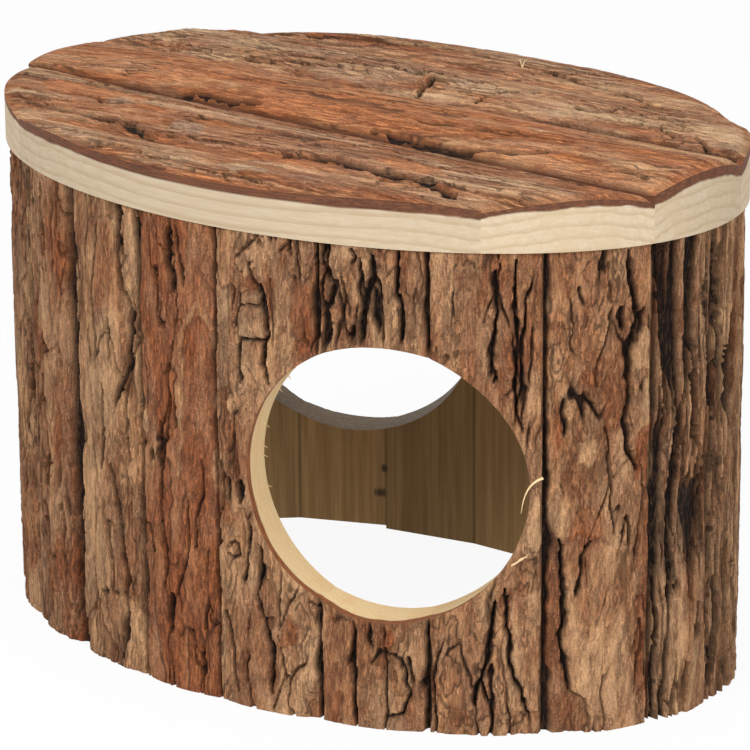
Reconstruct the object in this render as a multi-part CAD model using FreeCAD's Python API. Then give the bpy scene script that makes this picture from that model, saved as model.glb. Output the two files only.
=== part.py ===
import FreeCAD, Part
import math
import os

# A small animal's house of bark-faced wood. An oval ring of upright staves, glued edge to edge,
# carries a roof of five bark-topped slabs. It has no floor, and a round doorway front and back.
# Millimetres and degrees. X runs along the oval, the front is at -Y, and Z = 0 is the ground.

# Overall size, over the bark
house_length = 200.0
house_width = 133.0
wall_height = 119.0

# Wall staves. The widths go round anticlockwise, seen from above, from the stave that the front
# doorway cuts apart, and are shared out so that the ring closes.
stave_widths = [
    27.0, 27.0, 28.0, 19.5, 27.0, 28.5, 28.0, 28.5, 28.0, 28.0,
    26.0, 27.5, 27.0, 27.0, 24.0, 25.0, 25.5, 25.5, 24.0, 28.0,
]
stave_wood = 7.5
stave_bark = 3.0
bark_shoulder = 1.2
door_stave_shift = -2.0

# Staves sawn a little short, by their number in the list above, and how far each stops off the ground
short_staves = {11: 0.9}

# Doorways, bored right through the wall with one hole saw
door_diameter = 68.0
door_sill = 27.0
door_offset = 44.0
front_door_turn = 14.0
back_door_turn = 22.0

# Roof slabs, from the front to the back. Each joint has its place at mid-length and its skew.
roof_joints = [-48.5, -15.0, 14.5, 42.8]
roof_skews = [-1.4, -4.0, -2.6, -2.4]
roof_woods = [8.7, 8.2, 10.2, 10.5, 9.5]
roof_crowns = [1.6, 2.6, 3.2, 2.2, 1.8]
roof_bark = 2.5

# How far the outer slabs' blanks stand past the outline before it is cut
slab_trim = 2.5

# Worked out from the sizes above
half_length = house_length / 2
half_width = house_width / 2
door_radius = door_diameter / 2
door_height = door_sill + door_radius
stave_depth = stave_wood + stave_bark
slab_names = [
    "roof_slab_front",
    "roof_slab_front_middle",
    "roof_slab_middle",
    "roof_slab_back_middle",
    "roof_slab_back",
]
outline_steps = 7200


def outline_point(turn):
    """The point of the house's oval outline at this parameter, in radians."""
    return FreeCAD.Vector(half_length * math.cos(turn), half_width * math.sin(turn), 0)


def outline_inward(turn):
    """The unit vector that points squarely into the house from that point."""
    normal = FreeCAD.Vector(math.cos(turn) / half_length, math.sin(turn) / half_width, 0)
    return normal.normalize() * -1


def measure_outline():
    """The distance round the outline from its +X tip, at even steps of the parameter."""
    distances = [0.0]
    last = outline_point(0)
    for step in range(1, outline_steps + 1):
        here = outline_point(2 * math.pi * step / outline_steps)
        distances.append(distances[-1] + here.distanceToPoint(last))
        last = here
    return distances


def turn_at(distance, distances):
    """The parameter of the point that lies this far round the outline."""
    perimeter = distances[-1]
    rest = distance % perimeter
    low = 0
    high = outline_steps
    while high - low > 1:
        middle = (low + high) // 2
        if distances[middle] <= rest:
            low = middle
        else:
            high = middle
    share = (rest - distances[low]) / (distances[high] - distances[low])
    return 2 * math.pi * (low + share) / outline_steps


def stave_ring():
    """The parameters of each stave's start, middle and end. The first is at the front doorway."""
    distances = measure_outline()
    perimeter = distances[-1]
    stretch = perimeter / sum(stave_widths)
    door_turn = 2 * math.pi - math.acos(door_offset / half_length)
    door_place = distances[round(door_turn / (2 * math.pi) * outline_steps)]
    start = door_place + door_stave_shift - stave_widths[0] * stretch / 2
    ring = []
    for width in stave_widths:
        end = start + width * stretch
        places = [start, (start + end) / 2, end]
        ring.append([turn_at(place, distances) for place in places])
        start = end
    return ring


def make_stave(start, middle, end, foot):
    """One upright stave from its foot up: a flat sawn back, mitred sides and a crowned bark face."""
    corner_a = outline_point(start) + outline_inward(start) * bark_shoulder
    crown = outline_point(middle)
    corner_b = outline_point(end) + outline_inward(end) * bark_shoulder
    back_b = outline_point(end) + outline_inward(end) * stave_depth
    back_a = outline_point(start) + outline_inward(start) * stave_depth
    edges = [
        Part.Arc(corner_a, crown, corner_b).toShape(),
        Part.LineSegment(corner_b, back_b).toShape(),
        Part.LineSegment(back_b, back_a).toShape(),
        Part.LineSegment(back_a, corner_a).toShape(),
    ]
    face = Part.Face(Part.Wire(edges))
    face.translate(FreeCAD.Vector(0, 0, foot))
    return face.extrude(FreeCAD.Vector(0, 0, wall_height - foot))


def door_bore(side, turned):
    """The round bore of a doorway. side is -1 at the front, where it lies towards +X, and 1 behind."""
    across = -side * door_offset
    along = side * half_width * math.sqrt(1 - (across / half_length) ** 2)
    angle = math.radians(turned)
    outward = FreeCAD.Vector(-side * math.sin(angle), side * math.cos(angle), 0)
    reach = stave_depth + door_radius
    start = FreeCAD.Vector(across, along, door_height) - outward * reach
    return Part.makeCylinder(door_radius, 2 * reach, start, outward)


def outline_prism(bottom, top):
    """The upright oval block between two heights."""
    ellipse = Part.Ellipse(FreeCAD.Vector(0, 0, bottom), half_length, half_width)
    face = Part.Face(Part.Wire([ellipse.toShape()]))
    return face.extrude(FreeCAD.Vector(0, 0, top - bottom))


def slab_section(x, front, back, edge_top, crown_top):
    """The cross-section of a roof slab in the plane at x: flat below, crowned above."""
    low_front = FreeCAD.Vector(x, front, wall_height)
    low_back = FreeCAD.Vector(x, back, wall_height)
    high_front = FreeCAD.Vector(x, front, edge_top)
    high_back = FreeCAD.Vector(x, back, edge_top)
    crown = FreeCAD.Vector(x, (front + back) / 2, crown_top)
    edges = [
        Part.LineSegment(low_front, low_back).toShape(),
        Part.LineSegment(low_back, high_back).toShape(),
        Part.Arc(high_back, crown, high_front).toShape(),
        Part.LineSegment(high_front, low_front).toShape(),
    ]
    return Part.Wire(edges)


def joint_place(number, x):
    """Where a joint between roof slabs lies at x. The outer two stand for the oval's own edge."""
    if number == 0:
        return -half_width - slab_trim
    if number == len(slab_names):
        return half_width + slab_trim
    return roof_joints[number - 1] + x * math.tan(math.radians(roof_skews[number - 1]))


def make_roof_slab(number):
    """One roof slab, cut flush with the outline."""
    edge_top = wall_height + roof_woods[number] + roof_bark
    crown_top = edge_top + roof_crowns[number]
    sections = []
    for x in (-half_length - slab_trim, half_length + slab_trim):
        front = joint_place(number, x)
        back = joint_place(number + 1, x)
        sections.append(slab_section(x, front, back, edge_top, crown_top))
    blank = Part.makeLoft(sections, True, True)
    return blank.common(outline_prism(wall_height, crown_top + slab_trim)).Solids[0]


def make_wall():
    """Every stave by name. A stave that a doorway cuts apart is a lintel and a sill."""
    doors = {"front": door_bore(-1, front_door_turn), "back": door_bore(1, back_door_turn)}
    pieces = {}
    for number, turns in enumerate(stave_ring(), start=1):
        stave = make_stave(*turns, short_staves.get(number, 0))
        names = ["wall_stave_%02d" % number]
        for place, bore in doors.items():
            if stave.distToShape(bore)[0] > 0:
                continue
            stave = stave.cut(bore)
            if len(stave.Solids) == 2:
                names = [place + "_door_sill", place + "_door_lintel"]
        solids = sorted(stave.Solids, key=lambda solid: solid.CenterOfMass.z)
        for name, solid in zip(names, solids, strict=True):
            pieces[name] = solid
    return pieces


def make_roof():
    """Every roof slab by name."""
    return {name: make_roof_slab(number) for number, name in enumerate(slab_names)}


def main():
    """Builds each piece, checks that it is one sound solid, and writes it to its own file."""
    os.makedirs("parts", exist_ok=True)
    pieces = make_wall()
    pieces.update(make_roof())
    for name, solid in pieces.items():
        if not solid.isValid() or solid.Volume <= 0:
            raise ValueError(name + " isn't a sound solid")
        solid.exportStep("parts/" + name + ".step")
        print("%-24s %9.1f mm3" % (name, solid.Volume))
    print(len(pieces), "pieces")


main()
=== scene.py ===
"""Finishes a small animal's house of bark-faced wood, plank by plank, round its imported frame.

Lengths are millimetres until a mesh is written, which is in metres as the frame is. X runs along the
oval, the front is at -Y and Z = 0 is the ground. On a plank, "across" is measured square to its grain and
"along" with it: on a wall stave they run from its left edge, seen from outside, and from the ground, and
on a roof slab they are Y and X.
"""
import logging
import math
from dataclasses import dataclass, field
from enum import Enum
from typing import Callable, Sequence

import bpy
import numpy as np
from mathutils import Matrix, Vector


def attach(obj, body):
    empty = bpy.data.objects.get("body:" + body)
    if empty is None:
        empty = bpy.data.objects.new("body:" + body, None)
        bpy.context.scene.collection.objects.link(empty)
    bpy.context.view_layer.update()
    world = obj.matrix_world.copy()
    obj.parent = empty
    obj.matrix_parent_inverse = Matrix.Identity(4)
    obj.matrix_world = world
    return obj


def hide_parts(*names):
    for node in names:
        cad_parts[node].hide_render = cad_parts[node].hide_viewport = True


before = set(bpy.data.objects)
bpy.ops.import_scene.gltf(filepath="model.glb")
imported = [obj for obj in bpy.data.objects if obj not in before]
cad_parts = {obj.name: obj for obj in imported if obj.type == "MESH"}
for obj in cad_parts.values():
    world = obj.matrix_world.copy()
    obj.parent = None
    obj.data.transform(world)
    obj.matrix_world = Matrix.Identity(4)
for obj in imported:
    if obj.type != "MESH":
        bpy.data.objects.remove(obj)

log = logging.getLogger("bark_house")

MM = 0.001
BODY = "root"

# The noise whose sizes come from a plank's own style. The rest is in Layer.
SCALES_SALT = 40
CRACKS_SALT = 50
PLATES_SALT = 70
STREAKS_SALT = 140

# Farther than any place is from any mark, in millimetres
FAR = 1e6

# Where the faces of a finished plank meet at less than this many degrees, they are shaded as one
SMOOTH_ANGLE = 42.0

# Steps of this share never come back to the same place, so each plank's grain is its own
GOLDEN_SHARE = 0.618

Point = tuple[float, float]
Place = tuple[float, float, float]


def srgb(red: float, green: float, blue: float) -> tuple[float, float, float, float]:
    """A colour as it is read off a screen, 0 to 255, as the linear colour that a shader takes."""
    shares = [value / 255 for value in (red, green, blue)]
    linear = [share / 12.92 if share <= 0.04045 else ((share + 0.055) / 1.055) ** 2.4 for share in shares]
    return (*linear, 1.0)


def ease(low: float, high: float, value: np.ndarray) -> np.ndarray:
    """Rises smoothly from 0 at low to 1 at high."""
    share = np.clip((value - low) / (high - low), 0.0, 1.0)
    return share * share * (3 - 2 * share)


def notch(distance: np.ndarray, reach: np.ndarray | float) -> np.ndarray:
    """The section of a groove: 1 on its middle line and 0 from reach outwards, with steep walls."""
    share = np.clip(distance / reach, 0.0, 1.0)
    return 1 - share * share * share


class Mask(Enum):
    """What each point of a plank's mesh tells its finish."""

    DEPTH = "bark_depth"
    TONE = "bark_tone"
    RED = "bark_red"
    GREY = "bark_grey"
    # Shade painted into the fissures, along the scales' steps, round the facets' borders and in the grooves
    # at the plank's edges, from 0 to 1
    HOLLOW_SHADE = "bark_hollow"
    LEFT = "from_left"
    RIGHT = "from_right"
    PLANK = "plank"


class Layer(Enum):
    """The bark's layers of noise: each one's salt, how wide and long its swells are, and its octaves."""

    FRAY = (10, 1.8, 3.2, 2)
    BEND = (20, 15.0, 26.0, 3)
    DRIFT = (30, 4.0, 14.0, 2)
    OPENING = (60, 7.0, 24.0, 2)
    BORDERS = (80, 5.0, 9.0, 2)
    ROUGH = (90, 1.3, 2.1, 3)
    RIDGES = (100, 0.8, 9.0, 3)
    SWELL = (110, 11.0, 40.0, 2)
    RED = (120, 5.0, 17.0, 3)
    GREY = (130, 4.0, 11.0, 3)
    GROOVES = (150, 3.0, 5.0, 3)
    LEFT_EDGE = (170, 7.0, 90.0, 3)
    RIGHT_EDGE = (180, 7.0, 90.0, 3)
    BITE_ACROSS = (190, 3.5, 5.0, 3)
    BITE_ALONG = (200, 4.5, 6.0, 3)
    PEELING = (210, 9.0, 22.0, 2)


@dataclass
class Cells:
    """The irregular cells of a scattered pattern, at each point asked for.

    Attributes:
        chance: a steady random number for the cell that the point is in.
        border: how far the point is from that cell's border, in millimetres.
        upright: 1 where that border runs with the grain and 0 where it crosses it.
        side: how far the point lies across the cell from its middle, in cell widths.
    """

    chance: np.ndarray
    border: np.ndarray
    upright: np.ndarray
    side: np.ndarray


@dataclass(frozen=True)
class SurfaceNoise:
    """Seeded noise over a plank's face."""

    seed: int

    def scatter(self, column: np.ndarray, row: np.ndarray, salt: int) -> np.ndarray:
        """Gives each lattice place its own random number.

        Args:
            column: whole numbers, one per point.
            row: whole numbers, one per point.
            salt: which of the noise's layers this is.

        Returns:
            Numbers from 0 to 1, the same in every run.
        """
        mixed = (column * 73856093) ^ (row * 19349663) ^ ((self.seed * 131 + salt) * 83492791)
        mixed = mixed & 0xFFFFFFFF
        for _ in range(2):
            mixed = ((mixed ^ (mixed >> 16)) * 0x45D9F3B) & 0xFFFFFFFF
        return (mixed ^ (mixed >> 16)) / 0xFFFFFFFF

    def smooth(self, x: np.ndarray, y: np.ndarray, salt: int) -> np.ndarray:
        """Soft noise with one swell per unit, from 0 to 1."""
        column = np.floor(x).astype(np.int64)
        row = np.floor(y).astype(np.int64)
        fx = x - column
        fy = y - row
        fx = fx * fx * (3 - 2 * fx)
        fy = fy * fy * (3 - 2 * fy)
        low = self.scatter(column, row, salt) * (1 - fx) + self.scatter(column + 1, row, salt) * fx
        high = self.scatter(column, row + 1, salt) * (1 - fx) + self.scatter(column + 1, row + 1, salt) * fx
        return low * (1 - fy) + high * fy

    def fractal(self, x: np.ndarray, y: np.ndarray, octaves: int, salt: int) -> np.ndarray:
        """Soft noise with finer layers on it, each half as strong, from 0 to 1."""
        total = np.zeros_like(x)
        weight = 0.0
        for octave in range(octaves):
            strength = 0.5**octave
            total = total + strength * self.smooth(x * 2**octave, y * 2**octave, salt + octave)
            weight += strength
        return total / weight

    def layer(self, layer: Layer, x: np.ndarray, y: np.ndarray) -> np.ndarray:
        """One of the bark's own layers of noise, from 0 to 1."""
        salt, width, length, octaves = layer.value
        return self.fractal(x / width, y / length, octaves, salt)

    def drawn(
        self, x: np.ndarray, y: np.ndarray, width: float, length: float, salt: int
    ) -> tuple[np.ndarray, np.ndarray]:
        """Noise whose swells have this width and length, and how steep it is across the grain per mm."""
        step = 0.4
        here, there = (self.fractal(place / width, y / length, 4, salt) for place in (x, x + step))
        return here, np.abs(there - here) / step

    def cells(self, x: np.ndarray, y: np.ndarray, width: float, length: float, salt: int) -> Cells:
        """Breaks the face into irregular cells.

        Args:
            x: places across the grain, in millimetres.
            y: places along the grain, in millimetres.
            width: a cell's mean width.
            length: a cell's mean length.
            salt: which of the noise's layers this is.

        Returns:
            What cell each point is in, and where in it.
        """
        u = x / width
        v = y / length
        column = np.floor(u).astype(np.int64)
        row = np.floor(v).astype(np.int64)
        near = np.full(u.shape, 99.0)
        next_near = np.full(u.shape, 99.0)
        here = [np.zeros(u.shape) for _ in range(3)]
        there = [np.zeros(u.shape) for _ in range(2)]
        for step in range(9):
            c = column + step % 3 - 1
            r = row + step // 3 - 1
            px = c + self.scatter(c, r, salt)
            py = r + self.scatter(c, r, salt + 1)
            gap = (u - px) ** 2 + (v - py) ** 2
            closer = gap < near
            second = ~closer & (gap < next_near)
            next_near = np.where(closer, near, np.where(second, gap, next_near))
            there = [np.where(closer, a, np.where(second, b, t)) for a, b, t in zip(here, (px, py), there)]
            near = np.where(closer, gap, near)
            chance = self.scatter(c, r, salt + 2)
            here = [np.where(closer, b, a) for a, b in zip(here, (px, py, chance))]
        slope_x = (here[0] - there[0]) / width
        slope_y = (here[1] - there[1]) / length
        slope = np.hypot(slope_x, slope_y) + 1e-9
        border = (next_near - near) / 2 / slope
        return Cells(here[2], border, np.abs(slope_x) / slope, u - here[0])


@dataclass(frozen=True)
class BarkStyle:
    """The character of one plank's bark. Lengths are millimetres, and colours run from 0 to 1.

    Attributes:
        scale_width: how wide the worn scales are.
        scale_length: how long they are.
        layers: how many layers of scales are worn through.
        layer_step: how thick a layer is.
        crack_gap: how far apart the long cracks are.
        crack_run: how far they run before they turn.
        crack_width: how wide they gape at most.
        crack_depth: how deep they go.
        cracked: the share of them that is open.
        plate_width: how wide the plates between the cracks are.
        plate_length: how long they are.
        plate_step: how much higher one may lie than the next.
        rough: the height of the fine roughness.
        fibre: the height of the fine fibres.
        wander: how far the pattern strays sideways as it runs along.
        swell: the height of its broad swells.
        lift: how much of its broad forms is clipped off at the top.
        patchy: how much its plates differ in tone.
        tone: from dark to light.
        red: how much of the red inner bark shows.
        grey: how weathered it is.
    """

    scale_width: float = 6.5
    scale_length: float = 17.0
    layers: float = 5.0
    layer_step: float = 0.42
    crack_gap: float = 9.0
    crack_run: float = 48.0
    crack_width: float = 1.0
    crack_depth: float = 2.2
    cracked: float = 0.5
    plate_width: float = 8.0
    plate_length: float = 30.0
    plate_step: float = 0.6
    rough: float = 0.22
    fibre: float = 0.12
    wander: float = 1.6
    swell: float = 0.4
    lift: float = 1.15
    patchy: float = 0.6
    tone: float = 0.5
    red: float = 0.35
    grey: float = 0.3


def beside(
    start: Point, end: Point, across: np.ndarray, along: np.ndarray
) -> tuple[np.ndarray, np.ndarray]:
    """How far each place is from the line between two points, and how far along it that is, from 0 to 1."""
    run = (end[0] - start[0], end[1] - start[1])
    share = ((across - start[0]) * run[0] + (along - start[1]) * run[1]) / (run[0] ** 2 + run[1] ** 2)
    share = np.clip(share, 0.0, 1.0)
    return np.hypot(across - start[0] - share * run[0], along - start[1] - share * run[1]), share


@dataclass(frozen=True)
class Crack:
    """One crack that is seen on a plank, as a line of (across, along) places.

    Attributes:
        points: where it runs.
        width: how wide it gapes.
        depth: how deep it goes.
    """

    points: tuple[Point, ...]
    width: float = 0.9
    depth: float = 2.3

    def measure(self, across: np.ndarray, along: np.ndarray) -> tuple[np.ndarray, np.ndarray]:
        """Measures how far each point is from the crack.

        Args:
            across: places across the grain.
            along: places along it.

        Returns:
            The distance from the line, and how far along the line that is, from 0 to 1.
        """
        best = np.full(across.shape, FAR)
        place = np.zeros(across.shape)
        stretches = list(zip(self.points[:-1], self.points[1:]))
        for number, (start, end) in enumerate(stretches):
            gap, share = beside(start, end, across, along)
            closer = gap < best
            best = np.where(closer, gap, best)
            place = np.where(closer, (number + share) / len(stretches), place)
        return best, place


@dataclass(frozen=True)
class Facet:
    """One plate, scar or recess that is seen on a plank, inside an outline of (across, along) places.

    Attributes:
        outline: its corners, in order.
        drop: how much deeper it lies than the bark round it, or higher if it is negative.
        calm: how far it is free of the fissures that run elsewhere, from 0 to 1.
        tone: added to the bark's tone.
        red: added to its redness.
        grey: added to its greyness.
    """

    outline: tuple[Point, ...]
    drop: float = 0.0
    calm: float = 0.7
    tone: float = 0.0
    red: float = 0.0
    grey: float = 0.0

    def inside(self, across: np.ndarray, along: np.ndarray) -> np.ndarray:
        """How far each point is inside the outline, in millimetres, and negative outside."""
        best = np.full(across.shape, FAR)
        within = np.zeros(across.shape, bool)
        for start, end in zip(self.outline, self.outline[1:] + self.outline[:1]):
            gap, _ = beside(start, end, across, along)
            best = np.minimum(best, gap)
            if start[1] != end[1]:
                passes = (start[1] > along) != (end[1] > along)
                crossing = start[0] + (along - start[1]) * (end[0] - start[0]) / (end[1] - start[1])
                within ^= passes & (across < crossing)
        return np.where(within, best, -best)


@dataclass(frozen=True)
class Shoulder:
    """How the bark falls away along one long edge of a plank.

    Attributes:
        width: how far in it starts to fall.
        depth: how deep it lies at the edge.
        ragged: how much that width changes along the edge, from 0 to 1.
    """

    width: float = 0.9
    depth: float = 1.9
    ragged: float = 1.0


@dataclass
class Scales:
    """The worn scales of a plank's bark, with a number per point for each.

    Attributes:
        depth: how deep they are worn.
        step_shadow: the painted shadow along the foot and the edge of each step, from 0 to 1.
        share: the share of the layers that is worn through.
        to_step: how far the next step down is, in millimetres.
    """

    depth: np.ndarray
    step_shadow: np.ndarray
    share: np.ndarray
    to_step: np.ndarray


@dataclass
class Colouring:
    """What a plank's bark looks like, with a number per point for each.

    Attributes:
        tone: from dark to light.
        red: how much of the red inner bark shows.
        grey: how weathered it is.
    """

    tone: np.ndarray
    red: np.ndarray
    grey: np.ndarray


@dataclass
class Pressed:
    """What a plank's facets do to its relief, with a number per point for each.

    Attributes:
        calm: how far it is free of fissures.
        drop: how much deeper it lies.
        rim: how close the border of a facet is, from 0 to 1; shade is painted along it.
    """

    calm: np.ndarray
    drop: np.ndarray
    rim: np.ndarray


@dataclass(frozen=True)
class BarkSheet:
    """The bark of one plank: its character, its edges and the marks that are seen on it.

    Attributes:
        noise: its own noise.
        style: its character.
        left: its left edge, seen from outside.
        right: its right edge.
        cracks: the cracks that are seen on it.
        facets: the plates, scars and recesses that are seen on it.
        deepest: how deep its relief may go.
    """

    noise: SurfaceNoise
    style: BarkStyle
    left: Shoulder = Shoulder()
    right: Shoulder = Shoulder()
    cracks: tuple[Crack, ...] = ()
    facets: tuple[Facet, ...] = ()
    deepest: float = 2.85

    def swing(self, layer: Layer, across: np.ndarray, along: np.ndarray) -> np.ndarray:
        """One of the layers of noise, from -1 to 1."""
        return 2 * self.noise.layer(layer, across, along) - 1

    def scales(self, x: np.ndarray, y: np.ndarray) -> Scales:
        """Works out the worn scales at these places of the bent grain."""
        style = self.style
        contrast = 1.8
        least_slope = 0.25 * style.layers / style.scale_width
        here, steep = self.noise.drawn(x, y, style.scale_width, style.scale_length, SCALES_SALT)
        worn = np.clip(style.layers * (0.5 + contrast * (here - 0.5)), 0.0, style.layers - 0.001)
        slope = np.maximum(contrast * style.layers * steep, least_slope)
        layer = np.floor(worn)
        rest = worn - layer
        to_step = (1 - rest) / slope
        from_step = rest / slope + np.where(layer < 1, 9.0, 0.0)
        depth = style.layer_step * (layer + 0.2 * rest + 0.8 * (1 - ease(0.0, 0.45, to_step)))
        # A dark line painted along each step, at its foot and on its edge, as its shadow.
        step_shadow = np.maximum(notch(from_step, 0.5), notch(to_step, 0.2))
        peeling = ease(0.3, 0.6, self.noise.layer(Layer.PEELING, x, y))
        return Scales(
            depth * (0.4 + 0.6 * peeling), step_shadow * (0.15 + 0.85 * peeling), layer / style.layers, to_step
        )

    def fissures(self, x: np.ndarray, y: np.ndarray, plates: Cells) -> np.ndarray:
        """The fissures along the grain and round the plates: 1 on their middle lines and 0 outside them."""
        style = self.style
        here, steep = self.noise.drawn(x, y, style.crack_gap, style.crack_run, CRACKS_SALT)
        slope = np.maximum(steep, 0.3 / style.crack_gap)
        opening = self.noise.layer(Layer.OPENING, x, y)
        gape = style.crack_width * (0.1 + 1.3 * opening) / 2
        closed = 1 - style.cracked
        long_ones = notch(np.abs(here - 0.5) / slope, gape) * ease(closed - 0.1, closed + 0.1, opening)
        border = notch(plates.border, 0.5 * gape + 0.15) * (0.1 + 0.6 * plates.upright)
        border = border * ease(0.35, 0.6, self.noise.layer(Layer.BORDERS, x, y))
        return np.maximum(long_ones, border)

    def colour(
        self,
        x: np.ndarray,
        y: np.ndarray,
        plates: Cells,
        scales: Scales,
        rough: np.ndarray,
        ridges: np.ndarray,
    ) -> Colouring:
        """Colours the bark by its plates, its worn layers and its roughness, with a paler band along the edge
        of each step, partly worn and partly a painted highlight.

        Args:
            x: places across the bent grain.
            y: places along it.
            plates: the plates there.
            scales: the worn scales there.
            rough: the fine roughness there.
            ridges: the fine fibres there.

        Returns:
            The colouring, before any facet or crack.
        """
        style = self.style
        noise = self.noise
        red = style.red + 0.5 * (scales.share - 0.35) + 0.7 * (noise.layer(Layer.RED, x, y) - 0.5)
        grey = style.grey + 0.5 * (0.4 - scales.share) + 1.1 * (noise.layer(Layer.GREY, x, y) - 0.5)
        tone = style.tone + style.patchy * (plates.chance - 0.5) + 0.75 * (0.4 - scales.share)
        tone = tone + 0.45 * rough + 0.3 * ridges
        streaks = noise.fractal(x / 2.6, 2.4 * y / style.scale_length, 3, STREAKS_SALT)
        # A paler band just before each step down: partly its worn edge, partly a painted highlight.
        tone = tone + 0.7 * (streaks - 0.5) + 0.14 * notch(np.abs(scales.to_step - 0.7), 0.5)
        return Colouring(tone, red, grey)

    def press(self, across: np.ndarray, along: np.ndarray, fray: np.ndarray, colouring: Colouring) -> Pressed:
        """Presses the facets into the bark and colours them.

        Args:
            across: places across the grain.
            along: places along it.
            fray: how frayed an edge is there, from -1 to 1.
            colouring: the bark's colouring, which is changed.

        Returns:
            What the facets do to the relief.
        """
        bitten_across = across + 0.6 * fray + 1.6 * self.swing(Layer.BITE_ACROSS, across, along)
        bitten_along = along + fray + 3.0 * self.swing(Layer.BITE_ALONG, across, along)
        pressed = Pressed(np.zeros_like(across), np.zeros_like(across), np.zeros_like(across))
        for facet in self.facets:
            depth_in = facet.inside(bitten_across, bitten_along)
            inside = ease(-0.15, 0.15, depth_in)
            pressed.calm = np.maximum(pressed.calm, facet.calm * inside)
            pressed.drop = pressed.drop * (1 - inside) + facet.drop * inside
            pressed.rim = np.maximum(pressed.rim, notch(np.abs(depth_in), 0.35) * min(1.0, abs(facet.drop)))
            colouring.tone = colouring.tone + facet.tone * inside
            colouring.red = colouring.red + facet.red * inside
            colouring.grey = colouring.grey + facet.grey * inside
        return pressed

    def read(
        self,
        across: np.ndarray,
        along: np.ndarray,
        to_left: np.ndarray,
        to_right: np.ndarray,
        to_rim: np.ndarray,
    ) -> dict[Mask, np.ndarray]:
        """Works out the bark's relief and colouring at points on the plank's face, with the shade that is
        painted into its hollows.

        Args:
            across: places across the grain, in millimetres.
            along: places along it.
            to_left: how far each is from the plank's left edge.
            to_right: how far each is from its right edge.
            to_rim: how far each is from the nearest doorway or the roof's outline, which were sawn clean.

        Returns:
            A number per point for each mask. The depth is how far the bark lies below the full outline.
        """
        style = self.style
        noise = self.noise
        fray = self.swing(Layer.FRAY, across, along)
        x = across + style.wander * self.swing(Layer.BEND, across, along) + 0.11 * style.scale_width * fray
        y = along + 4 * self.swing(Layer.DRIFT, across, along) + 1.2 * fray
        plates = noise.cells(x, y, style.plate_width, style.plate_length, PLATES_SALT)
        scales = self.scales(x, y)
        rough = noise.layer(Layer.ROUGH, x, y) - 0.5
        ridges = noise.layer(Layer.RIDGES, x, y) - 0.5
        swell = noise.layer(Layer.SWELL, across, along)
        colouring = self.colour(x, y, plates, scales, rough, ridges)
        pressed = self.press(across, along, fray, colouring)
        fissure = self.fissures(x, y, plates) * (1 - pressed.calm)

        level = style.plate_step * np.clip(plates.chance + 0.6 * plates.side * (plates.chance - 0.5), 0, 1)
        depth = (level + scales.depth) * (1 - 0.6 * pressed.calm) + style.swell * swell + pressed.drop
        depth = depth - style.lift
        depth = (depth + np.hypot(depth, 0.4)) / 2
        depth = depth + np.maximum(2 * style.rough * rough + 2 * style.fibre * ridges + 0.06, 0)
        depth = depth + fissure * np.maximum(style.crack_depth - 0.5 * depth, 0)
        # Painted shade: the fissures are painted dark, partly for their dark inner bark and partly for their
        # shade, and so are the scales' steps and the facets' borders.
        shadow = np.maximum(1.05 * fissure, 0.7 * scales.step_shadow * (1 - pressed.calm))
        shadow = np.maximum(shadow, 0.6 * pressed.rim)

        tone = colouring.tone
        uneven = 0.3 + 1.4 * noise.layer(Layer.GROOVES, across, along)
        for crack in self.cracks:
            gap, place = crack.measure(across + 0.6 * fray + 0.9 * rough, along + 0.6 * fray)
            taper = 0.6 + 0.4 * ease(0, 0.12, place) * ease(0, 0.12, 1 - place)
            groove = notch(gap, (crack.width / 2 + 0.2) * taper * uneven)
            depth = depth + groove * np.maximum(crack.depth - 0.6 * depth, 0)
            # Each crack's groove is painted with shade, and the bark beside it is made darker.
            shadow = np.maximum(shadow, groove * (0.65 + 0.2 * crack.depth))
            tone = tone - 0.15 * notch(gap, 1.2 * crack.width)

        edges = ((self.left, to_left, Layer.LEFT_EDGE), (self.right, to_right, Layer.RIGHT_EDGE))
        for shoulder, distance, layer in edges:
            uneven = 0.15 + 2.6 * noise.layer(layer, along, along) ** 2
            reach = shoulder.width * (1 + shoulder.ragged * (uneven - 1))
            fall = notch(np.maximum(distance, 0), reach)
            depth = depth + fall * np.maximum(shoulder.depth - 0.5 * depth, 0)
            # The fall at the plank's edge is painted with shade, as in the groove between two planks.
            shadow = np.maximum(shadow, fall * 0.45 * shoulder.depth)

        clean = ease(0.0, 3.0, to_rim)
        return {
            Mask.DEPTH: np.clip(depth * (0.1 + 0.9 * clean), 0.0, self.deepest),
            Mask.TONE: 0.5 + 0.5 * np.tanh(1.5 * (tone - 0.5)),
            Mask.RED: np.clip(colouring.red, 0.0, 1.0),
            Mask.GREY: np.clip(colouring.grey, 0.0, 1.0),
            Mask.HOLLOW_SHADE: np.clip(shadow * (0.5 + 0.5 * clean), 0.0, 1.0),
        }


def pick_only(*pieces: bpy.types.Object) -> None:
    """Deselects everything, selects these and makes the first one active."""
    bpy.ops.object.select_all(action="DESELECT")
    for piece in pieces:
        piece.select_set(True)
    bpy.context.view_layer.objects.active = pieces[0]


def corners(mesh: bpy.types.Mesh) -> np.ndarray:
    """A mesh's points as rows of millimetres."""
    flat = np.empty(len(mesh.vertices) * 3)
    mesh.vertices.foreach_get("co", flat)
    return flat.reshape(-1, 3) / MM


def set_corners(mesh: bpy.types.Mesh, places: np.ndarray) -> None:
    """Moves a mesh's points to these rows of millimetres."""
    mesh.vertices.foreach_set("co", (places * MM).ravel())
    mesh.update()


class Face(Enum):
    """The material slots of every plank, in order."""

    BARK = 0
    CUT = 1
    INSIDE = 2


@dataclass
class Finishes:
    """The materials of one kind of plank."""

    bark: bpy.types.Material
    cut: bpy.types.Material
    inside: bpy.types.Material

    def dress(self, piece: bpy.types.Object) -> None:
        """Gives a plank its materials, in the order of Face."""
        for material in (self.bark, self.cut, self.inside):
            piece.data.materials.append(material)


Shape = Callable[[np.ndarray, np.ndarray], np.ndarray]


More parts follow.
